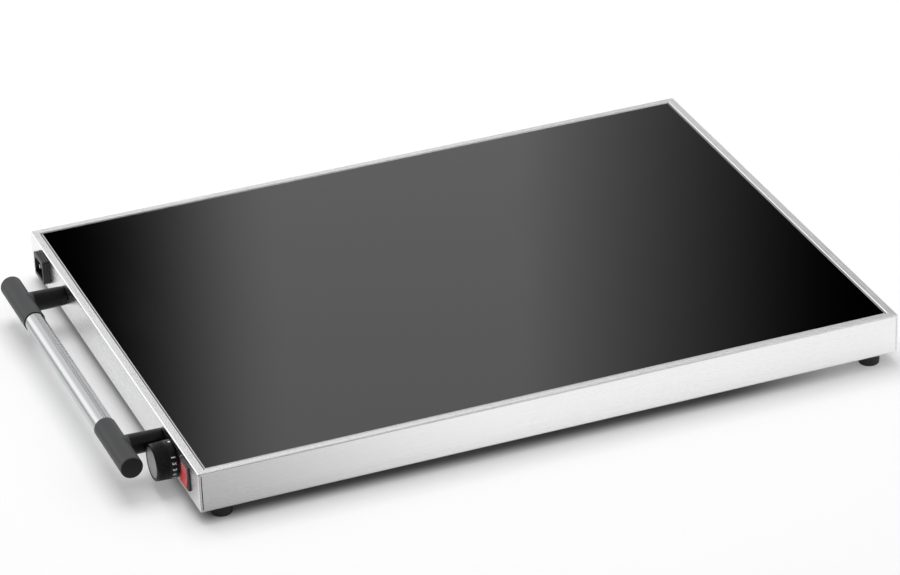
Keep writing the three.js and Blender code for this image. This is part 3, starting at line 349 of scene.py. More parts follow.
# %% The grip's moulding
def grip_nodes(recipe):
    """Grained where the hand holds it, smooth and blacker on the posts and the end discs."""
    x = sides_of(recipe, point_on(recipe), "X")[0]
    faces_y = sides_of(recipe, point_on(recipe, "Normal"), "Y")[0]
    axis_x = middle_mm("handle_tube").x * MM
    on_post = between(recipe, x, axis_x + 0.0090, axis_x + 0.0104)
    on_disc = between(recipe, faces_y.math("ABSOLUTE"), 0.85, 0.95)
    smooth = on_post.math("MAXIMUM", on_disc)
    grains = noise(recipe, (2200, 2200, 2200), 2.0)
    flow = noise(recipe, (40, 40, 40), 2.0)
    grained = blend(recipe, grains * 0.6 + flow * 0.4,
                    (0.042, 0.043, 0.045, 1), (0.066, 0.067, 0.070, 1))
    return {
        "Base Color": blend(recipe, smooth, grained, (0.003, 0.003, 0.0033, 1)),
        "Roughness": 0.46 + (grains - 0.5) * 0.10 - smooth * 0.12,
        "Normal": bump(recipe, grains * (1 - smooth * 0.85), 0.000025),
    }


grip_plastic = finish("grip_plastic", {"Specular IOR Level": 0.28}, grip_nodes)


# %% Grey inlay with turned rings
def inlay_nodes(recipe):
    """Rings a fifth of a millimetre apart, round the middle of the knob."""
    centre = middle_mm("knob_cap") * MM
    offset = recipe.node("ShaderNodeVectorMath", {"operation": "SUBTRACT"},
                         {0: point_on(recipe), 1: (0.0, centre.y, centre.z)})
    flat = recipe.node("ShaderNodeVectorMath", {"operation": "MULTIPLY"}, {0: offset, 1: (0, 1, 1)})
    radius = recipe.node("ShaderNodeVectorMath", {"operation": "LENGTH"}, {0: flat}, "Value")
    ring_place = recipe.node("ShaderNodeCombineXYZ", {}, {0: radius * 5200.0})
    rings = noise_at(recipe, ring_place, 1.0)
    return {
        "Base Color": blend(recipe, rings, grey(0.34), grey(0.46)),
        "Roughness": 0.36 + (rings - 0.5) * 0.16,
        "Normal": bump(recipe, rings, 0.000006),
    }


grey_inlay = finish("grey_inlay", {"Metallic": 0.55}, inlay_nodes)

# %% [markdown]
# ## Inner metals, mat and wires
#
# These pieces are inside, and show only through the vents or when the tray is taken apart. They still
# get the finish of the real thing: spangled zinc on the base, scale on the heater, loose fibres in
# the mat, and a coloured sleeve on each wire.


# %% Zinc-coated steel
def zinc_nodes(recipe):
    flake = recipe.node("ShaderNodeTexVoronoi", {},
                        {"Vector": place_of(recipe, (110, 110, 110)), "Scale": 1.0}, "Color")
    shade = recipe.node("ShaderNodeSeparateColor", {}, {0: flake}, "Red")
    return {
        "Base Color": blend(recipe, shade, grey(0.44), grey(0.62)),
        "Roughness": 0.36 + shade * 0.16,
        "Normal": bump(recipe, shade, 0.00001),
    }


zinc_steel = finish("zinc_steel", {"Metallic": 1.0}, zinc_nodes)
inner_steel = ground_steel("inner_steel", 0.55, 0.40, along=30.0, across=900.0, depth=0.00001)


# %% Other metals and the mat
def cast(name, dark, light, rough, grain, depth, metallic=1.0):
    """A surface that varies between two colours in grains of so many a metre."""
    def write(recipe):
        grains = noise(recipe, (grain, grain, grain), 4.0)
        return {
            "Base Color": blend(recipe, between(recipe, grains, 0.3, 0.7), dark + (1,), light + (1,)),
            "Roughness": rough + (grains - 0.5) * 0.2,
            "Normal": bump(recipe, grains, depth),
        }
    return finish(name, {"Metallic": metallic}, write)


spreader_metal = cast("spreader_metal", (0.60, 0.61, 0.62), (0.74, 0.75, 0.76), 0.36, 260, 0.00001)
heater_sheath = cast("heater_sheath", (0.10, 0.085, 0.07), (0.20, 0.18, 0.16), 0.55, 500, 0.00002)
mineral_mat = cast("mineral_mat", (0.62, 0.60, 0.54), (0.82, 0.80, 0.74), 0.95, 900, 0.0003, 0.0)
nickel_brass = cast("nickel_brass", (0.55, 0.53, 0.45), (0.66, 0.64, 0.57), 0.28, 700, 0.000005)
bare_copper = cast("bare_copper", (0.62, 0.26, 0.12), (0.78, 0.38, 0.20), 0.32, 400, 0.000008)
screw_steel = cast("screw_steel", (0.42, 0.42, 0.40), (0.58, 0.58, 0.56), 0.34, 900, 0.000008)
brown_sleeve = moulded("brown_sleeve", (0.105, 0.034, 0.014), 0.5, 1500, 0.00001)
blue_sleeve = moulded("blue_sleeve", (0.024, 0.072, 0.24), 0.5, 1500, 0.00001)


# %% Striped earth sleeve
def earth_nodes(recipe):
    stripe = recipe.node("ShaderNodeTexWave", {"bands_direction": "DIAGONAL"},
                         {"Vector": place_of(recipe, (1, 1, 1)), "Scale": 60.0}, "Fac")
    sharp = between(recipe, stripe, 0.45, 0.55)
    marks = noise(recipe, (1500, 1500, 1500), 2.0)
    return {
        "Base Color": blend(recipe, sharp, (0.05, 0.25, 0.04, 1), (0.75, 0.62, 0.03, 1)),
        "Roughness": 0.46 + marks * 0.1,
    }


earth_sleeve = finish("earth_sleeve", {}, earth_nodes)

# %% [markdown]
# ## From a shape to a piece
#
# Each shape is built in millimetres with bmesh operators. The last step scales it, turns it into its
# place and gives it a finish. The object itself stays at the origin, so a pattern on object
# coordinates stays where it is. Pieces on the end panel are drawn flat, as on a worktop: x to the
# front, y up, z out of the panel. One matrix stands them up on the panel.

# %% The end panel as a worktop
panel_x = house_low.x
on_panel = Matrix(((0, 0, -1, panel_x), (-1, 0, 0, 0), (0, 1, 0, 0), (0, 0, 0, 1)))


def on_worktop(node):
    """The middle of a measured piece as x and y on the end panel."""
    centre = middle_mm(node)
    return -centre.y, centre.z


print("knob on the panel, mm:", [round(part, 1) for part in on_worktop("control_knob")])


# %% Finish a piece
crease_angle = 32


def finish_piece(name, shape, body, material, stands_for=(), place=Matrix()):
    """Turns a shape in millimetres into a named piece that rides on a body."""
    if isinstance(shape, bmesh.types.BMesh):
        mesh = bpy.data.meshes.new(name)
        shape.to_mesh(mesh)
        shape.free()
    else:
        mesh = shape
    mesh.transform(Matrix.Scale(MM, 4) @ place)
    mesh.materials.clear()
    mesh.materials.append(material)
    mesh.shade_smooth()
    mesh.set_sharp_from_angle(angle=math.radians(crease_angle))
    piece = bpy.data.objects.new(name, mesh)
    bpy.context.scene.collection.objects.link(piece)
    weigh = piece.modifiers.new("flat_faces_first", "WEIGHTED_NORMAL")
    weigh.keep_sharp = True
    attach(piece, body)
    if stands_for:
        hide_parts(*stands_for)
    print(name, "faces:", len(mesh.polygons))


# %% Turn a profile on a lathe
def arc(centre, radius, first, last, steps=5):
    """Points of an arc from one angle to another, in degrees."""
    x, y = centre
    angles = [math.radians(first + (last - first) * k / steps) for k in range(steps + 1)]
    return [(x + radius * math.cos(a), y + radius * math.sin(a)) for a in angles]


def turned(profile, steps=96):
    """Spins points of (radius, height) round Z and closes the seam."""
    shape = bmesh.new()
    points = [shape.verts.new((radius, 0, height)) for radius, height in profile]
    lines = [shape.edges.new(pair) for pair in zip(points, points[1:])]
    bmesh.ops.spin(shape, geom=points + lines, axis=(0, 0, 1), cent=(0, 0, 0),
                   angle=math.tau, steps=steps, use_merge=True)
    bmesh.ops.remove_doubles(shape, verts=shape.verts, dist=0.0005)
    bmesh.ops.recalc_face_normals(shape, faces=shape.faces)
    return shape


# %% A block, and joining or cutting shapes
def block(size, centre, round_by=0.0, segments=2):
    """A box of a size round a centre, with its edges rounded."""
    shape = bmesh.new()
    stretch = Matrix.Translation(centre) @ Matrix.Diagonal((*size, 1))
    bmesh.ops.create_cube(shape, size=1, matrix=stretch)
    if round_by:
        bmesh.ops.bevel(shape, geom=shape.edges[:], offset=round_by, segments=segments,
                        profile=0.5, affect="EDGES", material=-1)
    return shape


def as_object(shape, name="tool"):
    mesh = bpy.data.meshes.new(name)
    shape.to_mesh(mesh)
    shape.free()
    made = bpy.data.objects.new(name, mesh)
    bpy.context.scene.collection.objects.link(made)
    return made


def carve(shape, tools, before=()):
    """Joins or cuts a shape with others. tools holds pairs of an operation and a shape."""
    body = as_object(shape, "body")
    for kind, settings in before:
        modifier = body.modifiers.new(kind.lower(), kind)
        for name, value in settings.items():
            setattr(modifier, name, value)
    helpers = []
    for operation, tool in tools:
        helper = as_object(tool)
        modifier = body.modifiers.new("carve", "BOOLEAN")
        modifier.operation = operation
        modifier.solver = "EXACT"
        modifier.object = helper
        helpers.append(helper)
    bpy.context.view_layer.update()
    done = bpy.data.meshes.new_from_object(body.evaluated_get(bpy.context.evaluated_depsgraph_get()))
    for helper in helpers + [body]:
        bpy.data.objects.remove(helper)
    return done


# %% [markdown]
# ## The folded housing
#
# The housing is 1 mm steel, folded down at the sides and in again under the tray, with a narrow lip
# pressed down round the window for the glass. It could be joined from four strips, but their folds
# would have to meet in every corner. So this starts as one block: its bends are bevels, the flange
# and the lip are insets of the top face, and the block is then opened above and below and given the
# thickness of the sheet with Solidify. The ends wrap round the corners a little, so a fine open seam
# is sawn beside each upright corner.

# %% Sizes of the fold
sheet_thickness = 1.0
corner_bend = 1.7
top_bend = 1.5
foot_bend = 2.0
flange_width = 8.2
lip_bend = 1.2
lip_depth = 4.6
return_width = 26.0
seam_width_left = 0.8
seam_width_right = 0.35
seam_from_corner = 2.3
print("flange and return, mm:", flange_width, return_width)

# %% Bend the block
housing = block(house_high - house_low, (house_low + house_high) / 2)
upright = [e for e in housing.edges if abs(e.verts[0].co.z - e.verts[1].co.z) > 1]
bend_steps = 8
bmesh.ops.bevel(housing, geom=upright, offset=corner_bend, segments=bend_steps, profile=0.5,
                affect="EDGES", material=-1)


def rim_edges(shape, height):
    """The edges that lie flat at one height."""
    return [e for e in shape.edges if all(abs(v.co.z - height) < 0.001 for v in e.verts)]


for height, reach in ((house_high.z, top_bend), (house_low.z, foot_bend)):
    bmesh.ops.bevel(housing, geom=rim_edges(housing, height), offset=reach, segments=bend_steps,
                    profile=0.5, affect="EDGES", material=-1)
print("bent block faces:", len(housing.faces))


# %% Square the window's corners
def flat_face(shape, up):
    """The widest face that looks straight up (1) or down (-1)."""
    return max((f for f in shape.faces if f.normal.z * up > 0.999), key=lambda f: f.calc_area())


def square_corners(shape, face, inset):
    """Draws the short corner edges of a face together into four corners."""
    corners = {}
    middle_x = (house_low.x + house_high.x) / 2
    for vert in face.verts:
        side_x = house_low.x + inset if vert.co.x < middle_x else house_high.x - inset
        side_y = house_low.y + inset if vert.co.y < 0 else house_high.y - inset
        if abs(vert.co.x - side_x) < 1 and abs(vert.co.y - side_y) < 1:
            corners.setdefault((side_x, side_y), []).append(vert)
    for (x, y), verts in corners.items():
        bmesh.ops.pointmerge(shape, verts=verts, merge_co=(x, y, face.calc_center_median().z))


square_corners(housing, flat_face(housing, 1), top_bend)
square_corners(housing, flat_face(housing, -1), foot_bend)
print("corners of the top face:", len(flat_face(housing, 1).verts))

# %% Press the lip and open the window
window = flat_face(housing, 1)
flat_width = flange_width - lip_bend - top_bend
bmesh.ops.inset_region(housing, faces=[window], thickness=flat_width, use_even_offset=True)
lip_steps = 5
for k in range(lip_steps):
    first, last = (math.radians(90 * (k + part) / lip_steps) for part in (0, 1))
    inward = lip_bend * (math.sin(last) - math.sin(first))
    down = lip_bend * (math.cos(first) - math.cos(last))
    bmesh.ops.inset_region(housing, faces=[window], thickness=inward, depth=-down,
                           use_even_offset=True)
bmesh.ops.inset_region(housing, faces=[window], thickness=0.0, depth=lip_bend - lip_depth)
under = flat_face(housing, -1)
bmesh.ops.inset_region(housing, faces=[under], thickness=return_width - foot_bend,
                       use_even_offset=True)
bmesh.ops.delete(housing, geom=[window, under], context="FACES")
print("opened shell faces:", len(housing.faces))


# %% Tools that punch holes
def bar(radius, low, high, x=0.0, y=0.0, steps=24):
    """A plain round bar along Z."""
    shape = turned([(0, low), (radius, low), (radius, high), (0, high)], steps)
    bmesh.ops.translate(shape, verts=shape.verts, vec=(x, y, 0))
    return shape


def stand_up(shape):
    """Moves a shape from the worktop to the end panel."""
    bmesh.ops.transform(shape, matrix=on_panel, verts=shape.verts)
    return shape


# %% Holes for the controls
square_holes = {"switch_body": (19.9, 23.6), "inlet_body": (27.2, 19.6)}
round_holes = {"control_knob": (5.4, 48), "thermostat_screw_1": (1.8, 24),
               "thermostat_screw_2": (1.8, 24), "handle_screw_front": (2.8, 24),
               "handle_screw_rear": (2.8, 24)}
punch_low = -6
punch_high = 2
cuts = []
for node, size in square_holes.items():
    middle = (*on_worktop(node), (punch_low + punch_high) / 2)
    punch = block((*size, punch_high - punch_low), middle)
    cuts.append(("DIFFERENCE", stand_up(punch)))
for node, (radius, steps) in round_holes.items():
    punch = bar(radius, punch_low, punch_high, *on_worktop(node), steps)
    cuts.append(("DIFFERENCE", stand_up(punch)))
print("holes in the end panel:", len(cuts))

# %% Screw holes underneath and seams at the corners
screw_hole = 2.3
drill_reach = 3
saw_reach = 4
clear_of_bend = 1.4
for node in nodes:
    if node.startswith(("foot_screw", "base_screw")):
        centre = middle_mm(node)
        drill = bar(screw_hole, house_low.z - drill_reach, house_low.z + drill_reach,
                    centre.x, centre.y)
        cuts.append(("DIFFERENCE", drill))
seam_foot = house_low.z + clear_of_bend * foot_bend
seam_top = house_high.z - clear_of_bend * top_bend
seam_middle = seam_from_corner + seam_width_left / 2
for x, width in ((house_low.x + seam_middle, seam_width_left),
                 (house_high.x - seam_middle, seam_width_right)):
    for y in (house_low.y, house_high.y):
        saw = block((width, saw_reach, seam_top - seam_foot), (x, y, (seam_top + seam_foot) / 2))
        cuts.append(("DIFFERENCE", saw))
print("all cuts in the housing:", len(cuts))

# %% Give the housing its thickness and cut it
wall = ("SOLIDIFY", {"thickness": sheet_thickness, "offset": -1, "use_even_offset": True})
shell = carve(housing, cuts, before=[wall])
finish_piece("folded_housing", shell, "tray", housing_steel, ["housing_shell"])

# %% [markdown]
# ## Carrying bar
#
# A drawn tube is held at both ends by a moulded T: a closed sleeve for the tube and a post to the end
# panel. Tube, sleeve and post are all round, so each is a profile spun round its own axis. The sleeve
# and the post are then joined into one moulding, because a real one has no joint there.

# %% The tube
tube_radius = 9.6
tube_wall = 1.5
tube_edge = 0.3
tube_steps = 128
bar_x, bar_y = on_worktop("handle_tube")
bar_out = panel_x - middle_mm("handle_tube").x
tube_low, tube_high = box_mm("handle_tube")
tube_half = (tube_high - tube_low).y / 2
inner = tube_radius - tube_wall
tube = turned([(inner, -tube_half), (tube_radius - tube_edge, -tube_half),
               (tube_radius, -tube_half + tube_edge), (tube_radius, tube_half - tube_edge),
               (tube_radius - tube_edge, tube_half), (inner, tube_half), (inner, -tube_half)],
              tube_steps)
quarter_turn = Matrix.Rotation(math.pi / 2, 4, "Y")
along_bar = on_panel @ Matrix.Translation((bar_x, bar_y, bar_out)) @ quarter_turn
finish_piece("grip_tube", tube, "tray", tube_aluminium, ["handle_tube"], along_bar)

# %% Sizes of the moulded ends
sleeve_radius = 10.5
sleeve_edge = 1.2
mouth_edge = 0.5
socket_radius = tube_radius + 0.15
socket_depth = 30.3
post_foot = [(0, 0.3), (8.7, 0.3), (9.2, 0.8), (9.2, 1.3)]
post_neck = 10.0
bar_screw_hole = 2.8
bar_screw_depth = 16.3
overrun = 1
print("bar stands off the panel by, mm:", round(bar_out, 1))


# %% The moulded ends
def handle_end(node, name, screw, side):
    """A sleeve and its post. side is 1 at the front end of the bar and -1 at the rear end."""
    low, high = box_mm(node)
    post_x = on_worktop(screw)[0]
    outer = (-low.y if side > 0 else -high.y) - post_x
    mouth = (-high.y if side > 0 else -low.y) - post_x
    length = abs(outer - mouth)
    sleeve = turned([(0, 0), *arc((sleeve_radius - sleeve_edge, sleeve_edge), sleeve_edge, -90, 0),
                     *arc((sleeve_radius - mouth_edge, length - mouth_edge), mouth_edge, 0, 90),
                     (0, length)])
    lay = Matrix.Translation((outer, 0, bar_out)) @ Matrix.Rotation(-side * math.pi / 2, 4, "Y")
    bmesh.ops.transform(sleeve, matrix=lay, verts=sleeve.verts)
    post = turned([*post_foot, (post_neck, bar_out), (0, bar_out)])
    socket = turned([(0, length - socket_depth), (socket_radius, length - socket_depth),
                     (socket_radius, length + overrun), (0, length + overrun)])
    bmesh.ops.transform(socket, matrix=lay, verts=socket.verts)
    drill = bar(bar_screw_hole, -overrun, bar_screw_depth)
    mesh = carve(sleeve, [("UNION", post), ("DIFFERENCE", socket), ("DIFFERENCE", drill)])
    place = on_panel @ Matrix.Translation((post_x, bar_y, 0))
    finish_piece(name, mesh, "tray", grip_plastic, [node], place)


handle_end("handle_end_front", "grip_end_front", "handle_screw_front", 1)
handle_end("handle_end_rear", "grip_end_rear", "handle_screw_rear", -1)

# %% [markdown]
# ## Thermostat knob
#
# The knob has a smooth collar that carries the numbers, and a fluted grip in front of it. One profile
# spun in many steps gives both. The flutes are then pressed in by drawing every third and fourth line
# of points towards the axis, which is quicker and cleaner than cutting forty-eight grooves.

# %% Outline of the knob
knob_radius = 17.7
knob_back = 1.0
knob_front = 20.3
shaft_bore = 3.15
bore_end = 13.3
hub_radius = 5.6
hub_back = 2.4
hollow_radius = 15.5
hollow_top = 15.5
inlay_bed = 18.8
behind = [(0, bore_end), (shaft_bore, bore_end), (shaft_bore, hub_back), (hub_radius, hub_back),
          (hub_radius, hollow_top), (hollow_radius, hollow_top), (hollow_radius, knob_back)]
collar = [(17.4, knob_back), (knob_radius, knob_back + 0.3), (knob_radius, 7.0), (17.5, 7.3)]
grip = [(17.45, 7.9), (17.42, 8.6), (17.3, 13.0), (17.14, 17.7), (17.12, 18.3)]
rim = [*arc((15.8, 19.0), 1.3, 0, 90, 6), (14.6, knob_front), (14.3, 20.0), (14.3, inlay_bed)]
print("points in the outline:", len(behind + collar + grip + rim) + 1)

# %% Spin the knob and press the flutes
flutes = 48
steps_in_flute = 6
flute_depth = 0.6
flute_shape = {3: 0.5, 4: 1.0, 5: 0.5}
flute_low = 8.5
flute_high = 18.0
outside = 16.5
steps_round = flutes * steps_in_flute
knob = turned([*behind, *collar, *grip, *rim, (0, inlay_bed)], steps_round)
for vert in knob.verts:
    reach = math.hypot(vert.co.x, vert.co.y)
    step = round(math.atan2(vert.co.y, vert.co.x) / math.tau * steps_round) % steps_in_flute
    if flute_low < vert.co.z < flute_high and reach > outside and step in flute_shape:
        shrink = 1 - flute_depth * flute_shape[step] / reach
        bmesh.ops.scale(knob, vec=(shrink, shrink, 1), verts=[vert])
knob_x, knob_y = on_worktop("control_knob")
on_knob = on_panel @ Matrix.Translation((knob_x, knob_y, 0))
finish_piece("fluted_knob", knob, "knob", knob_plastic, ["control_knob"], on_knob)

# %% Inlay of the knob
inlay_back = 18.9
inlay = turned([(0, inlay_back), (13.9, inlay_back), *arc((13.7, 19.8), 0.2, 0, 90, 3),
                (13.2, 19.85), (0, 19.7)])
finish_piece("knob_inlay", inlay, "knob", grey_inlay, ["knob_cap"], on_knob)

# %% [markdown]
# ## Numbers on the collar
#
# The numbers are printed ink, far thinner than a hair. They are written as text objects, turned into
# meshes and wrapped round the collar, because a print that follows the curve catches the light with
# it. The heads of the numbers point to the front of the knob.


# %% Wrap print round the collar
print_lift = 0.02
print_thickness = 0.03
stroke_gain = 0.2


def wrap(shape, angle, height):
    """Wraps a flat print round the collar. Its x runs round the knob, its y along the axis."""
    for vert in shape.verts:
        turn = math.radians(angle) - vert.co.x / knob_radius
        reach = knob_radius + print_lift + vert.co.z
        vert.co = (reach * math.cos(turn), reach * math.sin(turn), height + vert.co.y)


def number(digit, size):
    """A digit as a flat shape, with strokes a little fatter than the font's."""
    writing = bpy.data.curves.new("writing", "FONT")
    writing.body = str(digit)
    writing.size = size
    writing.align_x = "CENTER"
    writing.align_y = "CENTER"
    writing.extrude = print_thickness / 2
    writing.offset = stroke_gain
    holder = bpy.data.objects.new("writing", writing)
    bpy.context.scene.collection.objects.link(holder)
    shape = bmesh.new()
    shape.from_mesh(bpy.data.meshes.new_from_object(holder))
    bpy.data.objects.remove(holder)
    bmesh.ops.remove_doubles(shape, verts=shape.verts, dist=0.001)
    return shape


# %% Print the numbers, and add a white dot at the top of the collar
number_size = 5.0
number_height = 4.1
first_angle = 33
angle_step = 18.7
dot_radius = 1.15
dot_angle = 90
dot_height = 2.9
for k in range(9):
    digit = number(k + 1, number_size)
    wrap(digit, first_angle - angle_step * k, number_height)
    bmesh.ops.recalc_face_normals(digit, faces=digit.faces)
    finish_piece(f"dial_number_{k + 1}", digit, "knob", white_print, (), on_knob)
# A white dot at the top of the collar, in the same white as the numbers.
dot = bar(dot_radius, -print_thickness / 2, print_thickness / 2, steps=32)
wrap(dot, dot_angle, dot_height)
finish_piece("collar_white_dot", dot, "knob", white_print, (), on_knob)


# %% [markdown]
# ## Switch and power inlet
#
# Both snap into square holes. Their measured solids are right in shape but have knife edges, and no
# moulding has those. A copy of each is merged into clean faces, and a fine bevel lets every edge catch
# a thread of light. The red lens also gets the fine ribs that keep a finger from slipping: each is a
# small rounded bar, laid on the sloping face and joined to it.


# %% Soften a measured piece
edge_angle = 30


def soften(node, radius, segments=2):
    """A copy of a measured piece in millimetres, its loose triangles merged and its edges rounded."""
    shape = bmesh.new()
    shape.from_mesh(nodes[node].data)
    bmesh.ops.scale(shape, vec=(1 / MM, 1 / MM, 1 / MM), verts=shape.verts)
    bmesh.ops.remove_doubles(shape, verts=shape.verts, dist=0.002)
    bmesh.ops.dissolve_limit(shape, angle_limit=math.radians(1), verts=shape.verts, edges=shape.edges)
    crisp = [e for e in shape.edges if len(e.link_faces) == 2
             and e.calc_face_angle() > math.radians(edge_angle) and e.is_convex]
    bmesh.ops.bevel(shape, geom=crisp, offset=radius, segments=segments, profile=0.5,
                    affect="EDGES", material=-1, clamp_overlap=True)
    return shape


# %% Switch frame
finish_piece("switch_frame", soften("switch_body", 0.25), "tray", black_plastic,
             ["switch_body"])

# %% Ribs of the rocker
rocker_tilt = -6.0
rocker_slope = 6.0
rocker_rise = 3.5
pivot_drop = 1.5
rib_size = (13.4, 0.5, 0.5)
rib_edge = 0.2
ribs_on_a_half = 7
first_rib = 0.9
rib_spacing = 1.2
switch_x, switch_y = on_worktop("switch_body")
on_rocker = (on_panel @ Matrix.Translation((switch_x, switch_y, -pivot_drop))
             @ Matrix.Rotation(math.radians(rocker_tilt), 4, "X"))
ribs = []
for half in (-1, 1):
    lean = (Matrix.Translation((0, 0, rocker_rise))
            @ Matrix.Rotation(math.radians(half * rocker_slope), 4, "X"))
    for k in range(ribs_on_a_half):
        rib = block(rib_size, (0, half * (first_rib + rib_spacing * k), 0.0), rib_edge)
        bmesh.ops.transform(rib, matrix=on_rocker @ lean, verts=rib.verts)
        ribs.append(("UNION", rib))
print("ribs on the rocker:", len(ribs))

# %% Rocker
lens_shape = carve(soften("switch_rocker", 0.35, 3), ribs)
finish_piece("rocker_lens", lens_shape, "rocker", red_plastic, ["switch_rocker"])

# %% Power inlet
finish_piece("power_inlet_body", soften("inlet_body", 0.2), "tray", black_plastic,
             ["inlet_body"])

# %% [markdown]
# ## Feet and screws
#
# The feet are turned rubber buffers with a slight taper, held by a screw that sits deep in the
# middle. Only their edges need to be round to look moulded. The screws have pan heads with a cross
# recess: a turned head, from which two crossed bars are cut.


# %% Feet
foot_bore = 2.3
foot_height = 10.4
foot_seat = 4.0
recess_radius = 4.6
foot_steps = 72
recess = [(foot_bore, foot_seat), (recess_radius, foot_seat), (recess_radius, 0.3), (4.9, 0.0)]
foot_side = [*arc((8.6, 1.0), 1.0, -90, -4), *arc((9.4, 9.6), 0.8, -4, 90)]
foot_profile = [*recess, *foot_side, (foot_bore, foot_height), (foot_bore, foot_seat)]
for node in [name for name in nodes if name.startswith("foot_") and not name.startswith("foot_screw")]:
    centre = middle_mm(node)
    foot = turned(foot_profile, foot_steps)
    finish_piece("buffer_" + node, foot, "tray", foot_rubber, [node],
                 Matrix.Translation((centre.x, centre.y, 0)))


# %% Screws under the tray
head_radius = 3.8
head_height = 2.0
head_edge = 1.2
shank_radius = 2.0
tip_radius = 0.8
tip_height = 1.2
cross_width = 3.6
cross_slot = 0.8
cross_reach = 2.2
cross_edge = 0.1
screw_steps = 40


def pan_screw(length):
    """A pan-head screw, head down, its seat at height 0 and its shank pointing up."""
    crown = arc((head_radius - head_edge, head_edge - head_height), head_edge, -90, 0, 4)
    shape = turned([(0, -head_height), *crown, (head_radius, 0), (shank_radius, 0),
                    (shank_radius, length - tip_height), (tip_radius, length), (0, length)],
                   screw_steps)
    bars = [("DIFFERENCE", block((*size, cross_reach), (0, 0, -head_height), cross_edge, 1))
            for size in ((cross_width, cross_slot), (cross_slot, cross_width))]
    return carve(shape, bars)


for node in [name for name in nodes if name.startswith(("foot_screw_", "base_screw_"))]:
    low, high = box_mm(node)
    centre = middle_mm(node)
    seat = low.z + head_height
    finish_piece("cross_" + node, pan_screw(high.z - seat), "tray", screw_steel, [node],
                 Matrix.Translation((centre.x, centre.y, seat)))

# %% [markdown]
# ## Finishes for the measured pieces that stay
#
# The glass and everything under it are flat sheets, bars and wires whose measured shapes are already
# right. They keep their meshes and only get their finishes.

# %% Hand out the finishes
finish_of_slot = {
    "black_glass": black_glass, "silicone": seal_silicone, "spreader": spreader_metal,
    "heater_sheath": heater_sheath, "mineral_mat": mineral_mat, "inner_steel": inner_steel,
    "zinc_steel": zinc_steel, "screw_steel": screw_steel, "terminal_metal": nickel_brass,
    "copper": bare_copper, "brown_wire": brown_sleeve, "blue_wire": blue_sleeve,
    "earth_wire": earth_sleeve, "black_plastic": black_plastic,
}
dressed = 0
for part in frame["record"]["subparts"]:
    material = finish_of_slot.get(part["material_slot"])
    if material:
        node = nodes[part["node"]]
        node.data.materials.clear()
        node.data.materials.append(material)
        dressed += 1
print("measured pieces with a finish:", dressed)

# %% [markdown]
# ## Floor and surroundings
#
# The tray stands on a white table in a white room. The floor gets a little light of its own towards
# the camera, which carries it to white and leaves the shadow on it. For mirrored rays only, the node
# Light Path paints the table darker at the front left and the far left: a painted dark reflection in
# the steel of the front panel and in the grip tube. Under the tray the floor's colour is painted
# darker and it gets no light of its own, a painted shadow below the panels.

# %% Rays that look
def light_path(recipe, kind):
    """1 for rays of a kind, such as "Is Glossy Ray", and 0 for all others."""
    return recipe.node("ShaderNodeLightPath", out=kind)


def seen_rays(recipe):
    """1 for rays that look or mirror, 0 for rays that only carry light."""
    looks, mirrors, passes = [light_path(recipe, kind) for kind in
                              ("Is Camera Ray", "Is Glossy Ray", "Is Transmission Ray")]
    return looks.math("MAXIMUM", mirrors).math("MAXIMUM", passes)


# %% White floor
floor_reach = 20
floor_shape = bmesh.new()
bmesh.ops.create_grid(floor_shape, x_segments=1, y_segments=1, size=floor_reach)
floor = as_object(floor_shape, "floor")
floor_material = bpy.data.materials.new("floor_white")
floor_material.use_nodes = True
floor.data.materials.append(floor_material)
print("floor, m from side to side:", 2 * floor_reach)

# %% Painted dark reflection and painted shadow under the tray
recipe = Recipe(floor_material.node_tree)
x, y = sides_of(recipe, point_on(recipe), "XY")
# Painted dark reflection: mirrored rays see the floor darker at the front left and the far left.
painted_reflection_front_left = between(recipe, x, 0.02, -0.42) * between(recipe, y, -0.24, -0.27)
painted_reflection_far_left = between(recipe, x, -0.40, -0.46) * between(recipe, y, -0.27, -0.24) * 0.7
painted_dark_reflection = (painted_reflection_front_left + painted_reflection_far_left) * light_path(recipe, "Is Glossy Ray")
edge_out = 0.008
edge_in = 0.014
right_fade = 0.18
low = house_low * MM
high = house_high * MM
# Painted shadow: the floor's colour is darker under the tray's outline.
painted_tray_shadow = (between(recipe, x, low.x - edge_out, low.x + edge_in)
              * between(recipe, x, high.x, high.x - right_fade)
              * between(recipe, y, low.y - edge_out, low.y + edge_in)
              * between(recipe, y, high.y + edge_out, high.y - edge_in))

# %% Finish of the floor
white_shade = 0.86
dark_shade = 0.40
own_light = 0.20
# The painted reflection and the painted shadow darken the floor's colour and take away its own light.
darker = painted_dark_reflection.math("MAXIMUM", painted_tray_shadow)
matt = recipe.node("ShaderNodeBsdfDiffuse", {},
                   {"Color": blend(recipe, darker, grey(white_shade), grey(dark_shade))})
lift = seen_rays(recipe) * (1 - painted_dark_reflection) * (1 - painted_tray_shadow) * own_light
glow = recipe.node("ShaderNodeEmission", {}, {"Color": lift})
both = recipe.node("ShaderNodeAddShader", {}, {0: matt, 1: glow})
recipe.node("ShaderNodeOutputMaterial", {}, {"Surface": both})
print("floor nodes:", len(floor_material.node_tree.nodes))

# %% White room
world = bpy.data.worlds.new("studio")
bpy.context.scene.world = world
world.use_nodes = True
recipe = Recipe(world.node_tree)
room_light = 0.52
sky = recipe.node("ShaderNodeBackground", {},
                  {"Color": room_light + seen_rays(recipe) * (1 - room_light)})
recipe.node("ShaderNodeOutputWorld", {}, {"Surface": sky})
print("light of the room:", room_light)

# %% [markdown]
# ## What the gloss shows
#
# Black glass and polished steel show their surroundings, so a photographer shapes those with dark
# cloths. One could hang each cloth as a sheet. Here a wide dome, which only mirrored rays see, carries
# them all: a cloth behind at the right, a narrow one to the left of the bright gap between the two, a
# dark wall in front that reaches up over the tray, and a window at the left. On a dome, the point
# divided by its distance is the direction, and from that come the angles that say where each cloth
# begins: sideways from straight back, and up from the floor, both in degrees.

